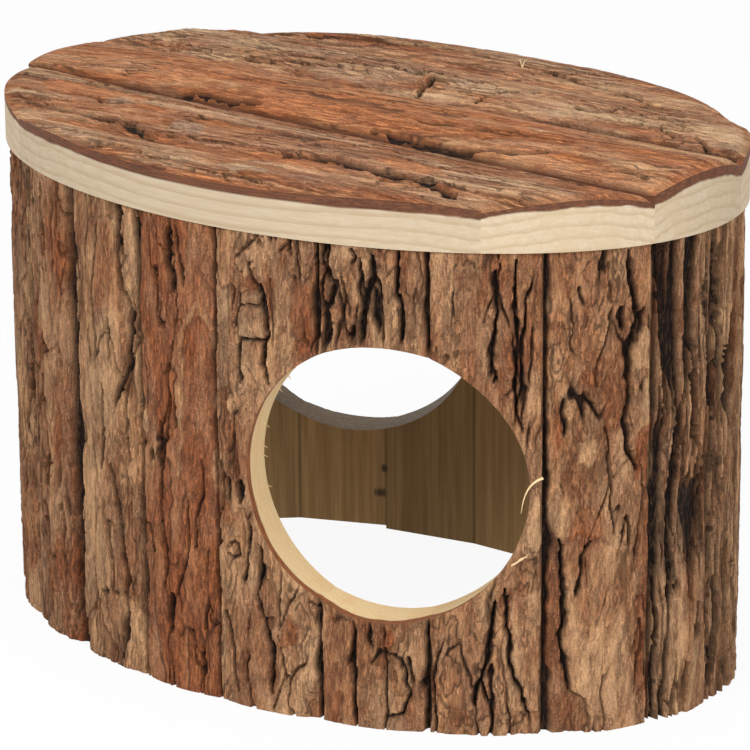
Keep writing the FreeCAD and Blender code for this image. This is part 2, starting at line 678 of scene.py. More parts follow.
@dataclass
class PlankMaker:
    """Makes a plank's body from a fine grid: a bark face, square-cut sides and a flat sawn back."""

    name: str
    finishes: Finishes
    columns: int
    rows: int

    def build(self, front: Shape, back: Shape) -> bpy.types.Object:
        """Builds the closed body.

        Args:
            front: gives the bark face's places for shares across and along it, from 0 to 1.
            back: gives the sawn back's places for the same shares.

        Returns:
            The new object, with its faces in the slots of Face.
        """
        bpy.ops.object.select_all(action="DESELECT")
        bpy.ops.mesh.primitive_grid_add(x_subdivisions=self.columns, y_subdivisions=self.rows, size=2.0)
        piece = bpy.context.object
        piece.name = self.name
        mesh = piece.data
        mesh.name = self.name
        bpy.ops.object.mode_set(mode="EDIT")
        bpy.ops.mesh.select_mode(type="EDGE")
        bpy.ops.mesh.select_all(action="DESELECT")
        bpy.ops.mesh.select_non_manifold(
            extend=False, use_wire=False, use_boundary=True, use_multi_face=False, use_non_contiguous=False,
            use_verts=False,
        )
        bpy.ops.mesh.extrude_edges_move(TRANSFORM_OT_translate={"value": (0, 0, -1)})
        bpy.ops.mesh.edge_face_add()
        bpy.ops.object.mode_set(mode="OBJECT")
        flat = corners(mesh) * MM
        across = (flat[:, 0] + 1) / 2
        along = (flat[:, 1] + 1) / 2
        on_back = flat[:, 2] < -0.5
        places = np.where(on_back[:, None], back(across, along), front(across, along))
        set_corners(mesh, places)
        loops = np.empty(len(mesh.loops), np.int32)
        mesh.loops.foreach_get("vertex_index", loops)
        starts = np.empty(len(mesh.polygons), np.int32)
        mesh.polygons.foreach_get("loop_start", starts)
        all_behind = np.logical_and.reduceat(on_back[loops], starts)
        some_behind = np.logical_or.reduceat(on_back[loops], starts)
        slots = np.where(some_behind, Face.CUT.value, Face.BARK.value)
        slots = np.where(all_behind, Face.INSIDE.value, slots)
        self.finishes.dress(piece)
        mesh.polygons.foreach_set("material_index", slots.astype(np.int32))
        pick_only(piece)
        bpy.ops.object.mode_set(mode="EDIT")
        bpy.ops.mesh.select_all(action="SELECT")
        bpy.ops.mesh.normals_make_consistent(inside=False)
        bpy.ops.object.mode_set(mode="OBJECT")
        return piece


def as_cutter(shape: bpy.types.Object, finishes: Finishes) -> bpy.types.Object:
    """Makes a closed shape ready to cut planks, so that what it cuts is cut wood."""
    finishes.dress(shape)
    shape.data.polygons.foreach_set("material_index", [Face.CUT.value] * len(shape.data.polygons))
    return shape


def cut_piece(piece: bpy.types.Object, cutter: bpy.types.Object, operation: str) -> None:
    """Cuts a piece with a closed shape and keeps the result.

    Args:
        piece: what is cut.
        cutter: the shape, whose faces' slots the cut faces take.
        operation: DIFFERENCE or INTERSECT.
    """
    pick_only(piece)
    modifier = piece.modifiers.new("cut", "BOOLEAN")
    modifier.operation = operation
    modifier.solver = "EXACT"
    modifier.material_mode = "TRANSFER"
    modifier.object = cutter
    bpy.ops.object.modifier_apply(modifier=modifier.name)


def name_piece(piece: bpy.types.Object, name: str) -> None:
    """Names a piece and its mesh."""
    piece.name = name
    piece.data.name = piece.name


def drop_piece(piece: bpy.types.Object) -> None:
    """Deletes a shape that has done its work."""
    pick_only(piece)
    bpy.ops.object.delete()


def write_masks(
    mesh: bpy.types.Mesh,
    masks: dict[Mask, np.ndarray],
    from_left: np.ndarray,
    from_right: np.ndarray,
    number: int,
) -> None:
    """Stores what each point tells its finish.

    Args:
        mesh: the plank's mesh.
        masks: the bark's masks.
        from_left: how far each point is from the plank's left edge.
        from_right: how far each is from its right edge.
        number: the plank's number, which gives its wood a grain of its own.
    """
    own = number * GOLDEN_SHARE % 1
    placed = {Mask.LEFT: from_left, Mask.RIGHT: from_right, Mask.PLANK: np.full(len(mesh.vertices), own)}
    for mask, values in (masks | placed).items():
        stored = mesh.attributes.new(mask.value, "FLOAT", "POINT")
        stored.data.foreach_set("value", values.astype(np.float32))


@dataclass(frozen=True)
class Oval:
    """The house's outline, seen from above."""

    half_length: float = 100.0
    half_width: float = 66.5
    steps: int = 7200

    def point(self, turn: float) -> np.ndarray:
        """The point of the outline at this parameter, in radians."""
        return np.array([self.half_length * math.cos(turn), self.half_width * math.sin(turn)])

    def inward(self, turn: float) -> np.ndarray:
        """The unit vector that points squarely into the house from that point."""
        normal = np.array([math.cos(turn) / self.half_length, math.sin(turn) / self.half_width])
        return -normal / np.linalg.norm(normal)

    def walked(self) -> tuple[np.ndarray, np.ndarray]:
        """The parameter at even steps, and the distance round the outline to each."""
        turns = np.linspace(0, 2 * math.pi, self.steps + 1)
        chords = np.hypot(np.diff(self.half_length * np.cos(turns)), np.diff(self.half_width * np.sin(turns)))
        return turns, np.concatenate([[0.0], np.cumsum(chords)])


@dataclass(frozen=True)
class StaveArc:
    """The plan of one stave: its crowned outside on an arc, and its flat back.

    Attributes:
        corner_a: its outer corner on the left, seen from outside.
        crown: the middle of its outside.
        corner_b: its outer corner on the right.
        back_a: its inner corner on the left.
        back_b: its inner corner on the right.
    """

    corner_a: np.ndarray
    crown: np.ndarray
    corner_b: np.ndarray
    back_a: np.ndarray
    back_b: np.ndarray

    def centre(self) -> np.ndarray:
        """The centre of the circle through the two corners and the crown."""
        a, b, c = self.corner_a, self.crown, self.corner_b
        rows = 2 * np.array([b - a, c - a])
        return np.linalg.solve(rows, np.array([b @ b - a @ a, c @ c - a @ a]))

    def sweep(self) -> tuple[float, float, float]:
        """The radius, the angle of the left corner and the turn from there to the right one."""
        centre = self.centre()
        first = self.corner_a - centre
        last = self.corner_b - centre
        start = math.atan2(first[1], first[0])
        turn = (math.atan2(last[1], last[0]) - start) % (2 * math.pi)
        return float(np.linalg.norm(first)), start, turn

    def width(self) -> float:
        """The outside's width, along its arc."""
        radius, _, turn = self.sweep()
        return radius * turn

    def ends(self, share: np.ndarray) -> tuple[np.ndarray, np.ndarray]:
        """The points of the full outside and of the back at these shares of the width."""
        radius, start, turn = self.sweep()
        angle = start + turn * share
        outside = self.centre() + radius * np.stack([np.cos(angle), np.sin(angle)], 1)
        return outside, self.back_a + share[:, None] * (self.back_b - self.back_a)

    def place(self, across: np.ndarray, depth: np.ndarray) -> np.ndarray:
        """The plan of points this far across and this deep."""
        outside, back = self.ends(across / self.width())
        inward = back - outside
        return outside + inward * (depth / np.linalg.norm(inward, axis=1))[:, None]

    def find(self, plan: np.ndarray) -> tuple[np.ndarray, np.ndarray]:
        """How far across and how deep these points of the plan are, by halving the range of shares."""
        low = np.full(len(plan), -0.05)
        high = np.full(len(plan), 1.05)
        for _ in range(24):
            middle = (low + high) / 2
            outside, back = self.ends(middle)
            inward = back - outside
            ray = plan - outside
            beyond = inward[:, 0] * ray[:, 1] - inward[:, 1] * ray[:, 0] < 0
            low = np.where(beyond, middle, low)
            high = np.where(beyond, high, middle)
        depth = np.sum((plan - outside) * inward, axis=1) / np.linalg.norm(inward, axis=1)
        return middle * self.width(), depth


class Side(Enum):
    """Which side of the house a doorway is on."""

    FRONT = -1
    BACK = 1


@dataclass(frozen=True)
class Doorway:
    """A round doorway, bored right through the wall.

    Attributes:
        side: where it is.
        turned: how far the bore is turned from square to the house's length, in degrees.
        split: the number of the stave that it cuts right through.
        reached: the numbers of the staves that it cuts into.
        offset: how far its middle is from the house's middle.
        height: how high its middle is.
        diameter: the hole saw's.
        facets: how many flats stand for the round.
    """

    side: Side
    turned: float
    split: int
    reached: tuple[int, ...]
    offset: float = 44.0
    height: float = 61.0
    diameter: float = 68.0
    facets: int = 240

    def name(self) -> str:
        """The doorway's name, as the nodes have it."""
        return self.side.name.lower() + "_door"

    def axis(self, oval: Oval) -> tuple[Vector, Vector]:
        """The bore's middle on the outline, and the unit vector that it points outwards along."""
        side = self.side.value
        x = -side * self.offset
        y = side * oval.half_width * math.sqrt(1 - (x / oval.half_length) ** 2)
        angle = math.radians(self.turned)
        return Vector((x, y, self.height)), Vector((-side * math.sin(angle), side * math.cos(angle), 0))

    def from_rim(self, oval: Oval, places: np.ndarray) -> np.ndarray:
        """How far these places on the wall are from the bore's own surface, in millimetres."""
        middle, outward = (np.array(vector) for vector in self.axis(oval))
        ray = places - middle
        along = ray @ outward
        off_axis = np.linalg.norm(ray - along[:, None] * outward, axis=1)
        return np.where(along > -self.diameter / 2, np.abs(off_axis - self.diameter / 2), self.diameter)

    def bore(self, oval: Oval, finishes: Finishes) -> bpy.types.Object:
        """Makes the bore as a closed shape whose faces are in the slot for cut wood."""
        middle, outward = self.axis(oval)
        bpy.ops.object.select_all(action="DESELECT")
        bpy.ops.mesh.primitive_cylinder_add(
            vertices=self.facets,
            radius=self.diameter / 2 * MM,
            depth=2 * self.diameter / 2 * MM,
            location=middle * MM,
            rotation=outward.to_track_quat("Z", "Y").to_euler(),
        )
        return as_cutter(bpy.context.object, finishes)


@dataclass
class Wall:
    """The ring of upright staves.

    Attributes:
        oval: the house's outline.
        finishes: the staves' materials.
        sheets: each stave's bark, by its number.
        doors: the doorways.
        sawn: the materials that each doorway's bore is cut with.
        height: the wall's height.
        widths: the staves' widths, anticlockwise from the one that the front doorway splits.
        wood: the thickness of a stave's wood.
        bark: the thickness of its bark.
        shoulder: how far a stave's outer corners stay inside the outline.
        door_shift: how far the first stave's middle is from the doorway's.
        feet: how far some staves' feet are off the ground at their left and right edges.
        cell: the size of the grid's cells, across and along.
    """

    oval: Oval
    finishes: Finishes
    sheets: dict[int, BarkSheet]
    doors: tuple[Doorway, ...]
    sawn: dict[Side, Finishes]
    height: float = 119.0
    widths: tuple[float, ...] = (
        27.0, 27.0, 28.0, 19.5, 27.0, 28.5, 28.0, 28.5, 28.0, 28.0,
        26.0, 27.5, 27.0, 27.0, 24.0, 25.0, 25.5, 25.5, 24.0, 28.0,
    )
    wood: float = 7.5
    bark: float = 3.0
    shoulder: float = 1.2
    door_shift: float = -2.0
    feet: dict[int, Point] = field(default_factory=lambda: {11: (0.9, 0.9), 12: (0.9, 0.0)})
    cell: tuple[float, float] = (0.3, 0.5)

    def ring(self) -> list[StaveArc]:
        """The plan of each stave, in order."""
        turns, distances = self.oval.walked()
        stretch = distances[-1] / sum(self.widths)
        offset = self.doors[0].offset
        door_turn = 2 * math.pi - math.acos(offset / self.oval.half_length)
        start = float(np.interp(door_turn, turns, distances)) + self.door_shift - self.widths[0] * stretch / 2
        staves = []
        for width in self.widths:
            end = start + width * stretch
            marks = [place % distances[-1] for place in (start, (start + end) / 2, end)]
            a, middle, b = (float(np.interp(mark, distances, turns)) for mark in marks)
            thick = self.wood + self.bark
            staves.append(
                StaveArc(
                    self.oval.point(a) + self.oval.inward(a) * self.shoulder,
                    self.oval.point(middle),
                    self.oval.point(b) + self.oval.inward(b) * self.shoulder,
                    self.oval.point(a) + self.oval.inward(a) * thick,
                    self.oval.point(b) + self.oval.inward(b) * thick,
                )
            )
            start = end
        return staves

    def from_rims(self, places: np.ndarray) -> np.ndarray:
        """How far these places on the wall are from the nearest doorway."""
        return np.minimum(*(door.from_rim(self.oval, places) for door in self.doors))

    def shape(self, number: int, plan: StaveArc) -> bpy.types.Object:
        """Builds one whole stave, before any doorway is cut."""
        feet = self.feet.get(number, (0.0, 0.0))
        width = plan.width()
        sheet = self.sheets[number]

        def level(across: np.ndarray, along: np.ndarray) -> np.ndarray:
            """The height of the shares across and along."""
            foot = feet[0] + across * (feet[1] - feet[0])
            return foot + along * (self.height - foot)

        def front(across: np.ndarray, along: np.ndarray) -> np.ndarray:
            """The bark face."""
            x = across * width
            z = level(across, along)
            outside = np.column_stack([plan.place(x, np.zeros_like(x)), z])
            masks = sheet.read(x, z, x, width - x, self.from_rims(outside))
            return np.column_stack([plan.place(x, masks[Mask.DEPTH]), z])

        def back(across: np.ndarray, along: np.ndarray) -> np.ndarray:
            """The sawn back."""
            flat = plan.back_a + across[:, None] * (plan.back_b - plan.back_a)
            return np.column_stack([flat, level(across, along)])

        columns = round(width / self.cell[0])
        rows = round(self.height / self.cell[1])
        return PlankMaker("wall_stave_%02d" % number, self.finishes, columns, rows).build(front, back)

    def finish(self, piece: bpy.types.Object, node: str, number: int, plan: StaveArc) -> None:
        """Dresses one piece of the wall and hands it to the frame."""
        name_piece(piece, node + "_bark_wood")
        places = corners(piece.data)
        across, depth = plan.find(places[:, :2])
        to_right = plan.width() - across
        masks = self.sheets[number].read(across, places[:, 2], across, to_right, self.from_rims(places))
        masks[Mask.DEPTH] = depth
        write_masks(piece.data, masks, across, to_right, number)
        hand_over(piece, node)

    def build(self) -> None:
        """Builds every stave, lintel and sill."""
        bores = [door.bore(self.oval, self.sawn[door.side]) for door in self.doors]
        for number, plan in enumerate(self.ring(), start=1):
            piece = self.shape(number, plan)
            nodes = ["wall_stave_%02d" % number]
            for door, bore in zip(self.doors, bores):
                if number in door.reached:
                    cut_piece(piece, bore, "DIFFERENCE")
                if number == door.split:
                    nodes = [door.name() + "_sill", door.name() + "_lintel"]
            parts = split_loose(piece)
            for node, part in zip(nodes, parts, strict=True):
                self.finish(part, node, number, plan)
        for bore in bores:
            drop_piece(bore)


def split_loose(piece: bpy.types.Object) -> list[bpy.types.Object]:
    """Makes an object of each loose part of a piece, and gives them from the lowest up."""
    pick_only(piece)
    bpy.ops.object.mode_set(mode="EDIT")
    bpy.ops.mesh.select_all(action="SELECT")
    bpy.ops.mesh.separate(type="LOOSE")
    bpy.ops.object.mode_set(mode="OBJECT")
    parts = list(bpy.context.selected_objects)
    return sorted(parts, key=lambda part: corners(part.data)[:, 2].mean())


def hand_over(piece: bpy.types.Object, node: str) -> None:
    """Smooths a finished plank and puts it in its node's place.

    Args:
        piece: the plank.
        node: the node that it stands for.
    """
    pick_only(piece)
    bpy.ops.object.shade_smooth_by_angle(angle=math.radians(SMOOTH_ANGLE))
    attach(piece, BODY)
    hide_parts(node)
    piece.data.calc_loop_triangles()
    log.info("%s: %d triangles", piece.name, len(piece.data.loop_triangles))


@dataclass(frozen=True)
class SlabPlan:
    """One roof slab's own sizes.

    Attributes:
        node: its node.
        wood: the thickness of its wood.
        crown: how much higher its middle is than its edges.
        sheet: its bark.
        droop: how much lower its top is at its left end.
        thin: how much thinner its bark is where it is cut, at its left end and elsewhere.
    """

    node: str
    wood: float
    crown: float
    sheet: BarkSheet
    droop: float = 0.0
    thin: Point = (0.0, 0.0)


@dataclass
class Roof:
    """The five slabs that lie side by side on the wall.

    Attributes:
        oval: the house's outline.
        finishes: the slabs' materials.
        slabs: the slabs, from the front to the back.
        bottom: the height of their undersides.
        joints: where each joint crosses the middle of the house's length.
        skews: how each joint is turned from the house's length, in degrees.
        bark: the thickness of the bark at a slab's edge.
        trim: how far the blanks stand past the outline before they are cut.
        left_end: between which distances from the middle the slabs' left ends begin.
        thin_end: between which ones the bark's thickness changes to the left end's.
        flatter: how much flatter the slabs' crowns are there, as a share.
        worn: how far the bark is worn down along the outline.
        worn_reach: how far in from the outline it is worn.
        worn_dark: how much darker it is there, as a share.
        cell: the size of the grid's cells, across and along.
    """

    oval: Oval
    finishes: Finishes
    slabs: tuple[SlabPlan, ...]
    bottom: float = 119.0
    joints: tuple[float, ...] = (-48.5, -15.0, 14.5, 42.8)
    skews: tuple[float, ...] = (-1.4, -4.0, -2.6, -2.4)
    bark: float = 2.5
    trim: float = 2.5
    left_end: Point = (55.0, 98.0)
    thin_end: Point = (60.0, 96.0)
    flatter: float = 0.7
    worn: float = 1.2
    worn_reach: float = 3.5
    worn_dark: float = 0.55
    cell: tuple[float, float] = (0.3, 0.5)

    def joint(self, number: int, x: np.ndarray) -> np.ndarray:
        """Where a joint lies at x. The outer two stand for the oval's own edge."""
        if number == 0:
            return np.full(x.shape, -self.oval.half_width - self.trim)
        if number == len(self.slabs):
            return np.full(x.shape, self.oval.half_width + self.trim)
        return self.joints[number - 1] + x * math.tan(math.radians(self.skews[number - 1]))

    def top(self, number: int, x: np.ndarray, y: np.ndarray) -> np.ndarray:
        """The height of a slab's full outline at a point of the plan."""
        slab = self.slabs[number]
        front = self.joint(number, x)
        back = self.joint(number + 1, x)
        half = (back - front) / 2
        radius = (half**2 + slab.crown**2) / (2 * slab.crown)
        off = np.clip(y - (front + back) / 2, -half, half)
        edge = self.bottom + slab.wood + self.bark
        sag = (radius - np.sqrt(radius**2 - off**2)) * (1 - self.flatter * ease(*self.left_end, -x))
        return edge + slab.crown - sag

    def bark_at(self, number: int, x: np.ndarray, y: np.ndarray) -> dict[Mask, np.ndarray]:
        """The bark's masks at points of the plan. The outer slabs' outer sides have no shoulder."""
        reach = np.hypot(x, y)
        share = np.hypot(x / self.oval.half_length, y / self.oval.half_width) + 1e-6
        to_rim = np.maximum(reach / share - reach, 0.0)
        slab = self.slabs[number]
        masks = slab.sheet.read(y, x, y - self.joint(number, x), self.joint(number + 1, x) - y, to_rim)
        rim = 1 - ease(0.0, self.worn_reach, to_rim)
        masks[Mask.DEPTH] = masks[Mask.DEPTH] + slab.droop * ease(*self.left_end, -x) + self.worn * rim
        masks[Mask.TONE] = masks[Mask.TONE] * (1 - self.worn_dark * rim)
        masks[Mask.GREY] = masks[Mask.GREY] * (1 - rim)
        return masks

    def blank(self, number: int) -> bpy.types.Object:
        """Builds one slab's blank, which stands past the outline."""
        reach = self.oval.half_length + self.trim

        def plan(across: np.ndarray, along: np.ndarray) -> tuple[np.ndarray, np.ndarray]:
            """The plan of the shares across and along. Seen from above with X up, across runs to -Y."""
            x = (2 * along - 1) * reach
            front = self.joint(number, x)
            back = self.joint(number + 1, x)
            return x, back + across * (front - back)

        def front(across: np.ndarray, along: np.ndarray) -> np.ndarray:
            """The bark face."""
            x, y = plan(across, along)
            depth = self.bark_at(number, x, y)[Mask.DEPTH]
            return np.column_stack([x, y, self.top(number, x, y) - depth])

        def back(across: np.ndarray, along: np.ndarray) -> np.ndarray:
            """The sawn underside."""
            x, y = plan(across, along)
            return np.column_stack([x, y, np.full(x.shape, self.bottom)])

        middle = np.zeros(1)
        width = float((self.joint(number + 1, middle) - self.joint(number, middle))[0])
        columns = round(width / self.cell[0])
        rows = round(2 * reach / self.cell[1])
        return PlankMaker(self.slabs[number].node, self.finishes, columns, rows).build(front, back)

    def outline(self) -> bpy.types.Object:
        """Makes the upright oval block that the blanks are cut by."""
        tall = 40.0
        bpy.ops.object.select_all(action="DESELECT")
        bpy.ops.mesh.primitive_cylinder_add(
            vertices=480, radius=1.0, depth=tall * MM, location=(0, 0, (self.bottom - 5 + tall / 2) * MM)
        )
        cutter = bpy.context.object
        inset = 0.01
        cutter.scale = ((self.oval.half_length - inset) * MM, (self.oval.half_width - inset) * MM, 1.0)
        bpy.ops.object.transform_apply(location=True, rotation=True, scale=True)
        return as_cutter(cutter, self.finishes)

    def build(self) -> None:
        """Builds every slab."""
        outline = self.outline()
        for number, slab in enumerate(self.slabs):
            piece = self.blank(number)
            cut_piece(piece, outline, "INTERSECT")
            name_piece(piece, slab.node + "_bark_wood")
            x, y, z = corners(piece.data).T
            masks = self.bark_at(number, x, y)
            thinner = slab.thin[1] + (slab.thin[0] - slab.thin[1]) * ease(*self.thin_end, -x)
            masks[Mask.DEPTH] = self.top(number, x, y) - z + thinner
            write_masks(piece.data, masks, y - self.joint(number, x), self.joint(number + 1, x) - y, number)
            hand_over(piece, slab.node)
        drop_piece(outline)


@dataclass(frozen=True)
class Fibre:
    """One torn fibre that stands off the bark, through five (X, Y, Z) places, thinning to its tip."""

    points: tuple[Place, ...]
    thick: float = 0.4


@dataclass
class LooseFibres:
    """The torn fibres and splinters that stand off the bark and off the doorway's inner edge.

    Attributes:
        finish: their material.
        fibres: the ones on the bark.
        door: the doorway that has torn fibres.
        clock: where those are, in degrees up from the doorway's left.
        torn_depth: how far inside the outline they start.
    """

    finish: bpy.types.Material
    door: Doorway
    fibres: tuple[Fibre, ...] = (
        Fibre(
            ((77.5, -41.5, 64.5), (76, -43, 64), (74.5, -44.2, 62.5), (74, -44.7, 59.5), (73.5, -44.6, 56)),
            0.7,
        ),
        Fibre(
            ((71.5, -45.7, 43), (72.5, -45.4, 43.5), (73.5, -44.9, 44.5), (74.5, -44.2, 45), (75, -43.6, 46)),
            0.6,
        ),
        Fibre(((73, -45.2, 44), (73.5, -44.9, 45), (74, -44.7, 45), (74.5, -44.4, 45.5), (75, -44, 45)), 0.4),
        Fibre(((68, -48.3, 84), (68.5, -48, 83.5), (69, -47.7, 82.5), (70, -47.2, 82), (70.5, -46.7, 80.5))),
        Fibre(((6, 58.5, 132.2), (7.5, 56.5, 132.8), (9, 54.5, 133), (10, 53, 132.8), (11, 52, 132.2)), 0.5),
        Fibre(((11, 52, 132.2), (10, 54, 132.8), (9, 56, 133), (8.5, 58, 132.8), (8, 59.5, 132.2)), 0.4),
    )
    clock: tuple[float, ...] = (38.0, 31.0, 14.0, 5.0, 1.0, -12.0)
    torn_depth: float = 11.0

    def at_rim(self, oval: Oval, clock: float) -> Fibre:
        """A fibre that is torn off the doorway's inner edge at this place round it."""
        middle, outward = self.door.axis(oval)
        leftwards = outward.cross(Vector((0, 0, 1)))
        points = []
        for step in range(5):
            turn = math.radians(clock - 0.6 * step)
            spoke = leftwards * math.cos(turn) + Vector((0, 0, 1)) * math.sin(turn)
            inside = self.torn_depth + 0.5 * step
            reach = self.door.diameter / 2 - 0.1 - 0.05 * step**2
            points.append(tuple(middle - outward * inside + spoke * reach))
        return Fibre(tuple(points), 0.4)

    def strand(self, fibre: Fibre) -> bpy.types.Object:
        """Makes one fibre as a closed mesh."""
        bpy.ops.object.select_all(action="DESELECT")
        bpy.ops.curve.primitive_nurbs_path_add(location=(0, 0, 0))
        strand = bpy.context.object
        for step, (point, place) in enumerate(zip(strand.data.splines[0].points, fibre.points, strict=True)):
            point.co = (*(value * MM for value in place), 1.0)
            point.radius = 1.0 - 0.2 * step
        strand.data.bevel_depth = fibre.thick / 2 * MM
        strand.data.bevel_resolution = 1
        strand.data.resolution_u = 5
        strand.data.use_fill_caps = True
        bpy.ops.object.convert(target="MESH")
        return bpy.context.object

    def build(self, oval: Oval) -> None:
        """Builds all of them as one piece."""
        torn = [self.at_rim(oval, clock) for clock in self.clock]
        strands = [self.strand(fibre) for fibre in (*self.fibres, *torn)]
        pick_only(*strands)
        bpy.ops.object.join()
        piece = bpy.context.object
        name_piece(piece, "torn_wood_fibres")
        piece.data.materials.clear()
        piece.data.materials.append(self.finish)
        deep = np.full(len(piece.data.vertices), 9.0)
        write_masks(piece.data, {Mask.DEPTH: deep}, deep, deep, 0)
        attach(piece, BODY)
        log.info("%s: %d strands", piece.name, len(strands))


Feed = bpy.types.NodeSocket | float | Sequence[float]
WHITE = (1.0, 1.0, 1.0, 1.0)


class NodeSheet:
    """A node tree that is being wired, with short calls for what the finishes repeat."""

    def __init__(self, tree: bpy.types.NodeTree) -> None:
        """Starts on this tree."""
        self.tree = tree

    def feed(self, socket: bpy.types.NodeSocket, value: Feed) -> None:
        """Links a socket to another one, or sets its value."""
        if isinstance(value, bpy.types.NodeSocket):
            self.tree.links.new(value, socket)
        else:
            socket.default_value = value

    def add(
        self, kind: str, inputs: dict[str | int, Feed] | None = None, **settings: object
    ) -> bpy.types.Node:
        """Adds a node.

        Args:
            kind: the node's type, without its ShaderNode prefix.
            inputs: what each named or numbered input is fed.
            settings: the node's own settings.

        Returns:
            The node.
        """
        node = self.tree.nodes.new("ShaderNode" + kind)
        for name, value in settings.items():
            setattr(node, name, value)
        for name, value in (inputs or {}).items():
            self.feed(node.inputs[name], value)
        return node

    def group(self, tree: bpy.types.NodeTree, inputs: dict[str, Feed]) -> bpy.types.Node:
        """Places a node group with these inputs."""
        node = self.tree.nodes.new("ShaderNodeGroup")
        node.node_tree = tree
        for name, value in inputs.items():
            self.feed(node.inputs[name], value)
        return node

    def maths(
        self, operation: str, first: Feed, second: Feed = 0.0, third: Feed = 0.0, clamp: bool = False
    ) -> bpy.types.NodeSocket:
        """The result of a sum on up to three numbers."""
        fed = {0: first, 1: second, 2: third}
        return self.add("Math", fed, operation=operation, use_clamp=clamp).outputs[0]

    def vector(self, operation: str, first: Feed, second: Feed) -> bpy.types.NodeSocket:
        """The result of a sum on two vectors."""
        return self.add("VectorMath", {0: first, 1: second}, operation=operation).outputs[0]

    def bump(self, shader: bpy.types.Node, height: Feed, strength: float, distance: float) -> None:
        """Raises a shader's surface by this height."""
        named = {"Strength": strength, "Distance": distance, "Height": height}
        self.feed(shader.inputs["Normal"], self.add("Bump", named).outputs["Normal"])

    def spread(
        self, value: Feed, low: Feed, high: Feed, to_low: float, to_high: float
    ) -> bpy.types.NodeSocket:
        """Stretches the range from low to high to another one, smoothly and without passing its ends."""
        named = {"Value": value, "From Min": low, "From Max": high, "To Min": to_low, "To Max": to_high}
        return self.add("MapRange", named, interpolation_type="SMOOTHSTEP").outputs["Result"]

    def mix(self, share: Feed, first: Feed, second: Feed, blend: str = "MIX") -> bpy.types.NodeSocket:
        """Mixes two colours."""
        node = self.add("Mix", data_type="RGBA", blend_type=blend)
        self.feed(node.inputs["Factor"], share)
        self.feed(node.inputs[6], first)
        self.feed(node.inputs[7], second)
        return node.outputs[2]

    def shade(self, colour: Feed, share: Feed) -> bpy.types.NodeSocket:
        """Multiplies a colour by a number."""
        level = self.add("CombineColor", {0: share, 1: share, 2: share}).outputs[0]
        return self.mix(1.0, colour, level, "MULTIPLY")

    def seen(self) -> bpy.types.NodeSocket:
        """1 for what the camera sees, also in a mirror or through glass, and 0 for light on its way."""
        path = self.add("LightPath").outputs
        seen = self.maths("MAXIMUM", path["Is Camera Ray"], path["Is Glossy Ray"])
        return self.maths("MAXIMUM", seen, path["Is Transmission Ray"])

    def mask(self, mask: Mask) -> bpy.types.NodeSocket:
        """One of the masks that the mesh holds."""
        return self.add("Attribute", attribute_name=mask.value).outputs["Fac"]

    def noise(self, vector: Feed, scale: float, detail: float, rough: float = 0.55) -> bpy.types.NodeSocket:
        """Soft noise from 0 to 1."""
        named = {"Vector": vector, "Scale": scale, "Detail": detail, "Roughness": rough}
        return self.add("TexNoise", named).outputs["Fac"]


def new_group(name: str, takes: dict[str, str], gives: dict[str, str]) -> tuple[NodeSheet, dict, dict]:
    """Starts a shader node group.

    Args:
        name: the group's name.
        takes: its inputs and their socket types, without the NodeSocket prefix.
        gives: its outputs, likewise.

    Returns:
        Its sheet, its inputs to read from and its outputs to feed, by name.
    """
    tree = bpy.data.node_groups.new(name, "ShaderNodeTree")
    for label, kind in takes.items():
        tree.interface.new_socket(name=label, in_out="INPUT", socket_type="NodeSocket" + kind)
    for label, kind in gives.items():
        tree.interface.new_socket(name=label, in_out="OUTPUT", socket_type="NodeSocket" + kind)
    source = tree.nodes.new("NodeGroupInput").outputs
    target = tree.nodes.new("NodeGroupOutput").inputs
    sources = {label: source[label] for label in takes}
    targets = {label: target[label] for label in gives}
    return NodeSheet(tree), sources, targets


@dataclass
class SharedEffects:
    """The node groups that several finishes use, each built once."""

    streaks: bpy.types.NodeTree
    flakes: bpy.types.NodeTree
    grime: bpy.types.NodeTree
    rings: bpy.types.NodeTree

    @classmethod
    def make(cls) -> "SharedEffects":
        """Builds the groups."""
        return cls(make_streaks(), make_flakes(), make_grime_and_shade(), make_rings())


def make_streaks() -> bpy.types.NodeTree:
    """Fine fibres, specks and broad blotches, drawn out along the grain."""
    sheet, takes, gives = new_group(
        "grain_streaks", {"Stretch": "Vector"}, {"Fibres": "Float", "Specks": "Float", "Blotches": "Float"}
    )
    place = sheet.add("TexCoord").outputs["Object"]
    own = sheet.maths("MULTIPLY", sheet.mask(Mask.PLANK), 40.0)
    drawn = sheet.vector("MULTIPLY", place, takes["Stretch"])
    drawn = sheet.vector("ADD", drawn, own)
    bent = sheet.vector("ADD", drawn, (7.3, 1.9, 4.1))
    fibres = sheet.noise(drawn, 1.0, 4.0, 0.65)
    specks = sheet.noise(place, 2300.0, 3.0, 0.75)
    blotches = sheet.noise(bent, 0.16, 3.0)
    sheet.feed(gives["Fibres"], sheet.spread(fibres, 0.28, 0.72, 0.0, 1.0))
    sheet.feed(gives["Specks"], sheet.spread(specks, 0.3, 0.7, 0.0, 1.0))
    sheet.feed(gives["Blotches"], sheet.spread(blotches, 0.3, 0.7, 0.0, 1.0))
    return sheet.tree


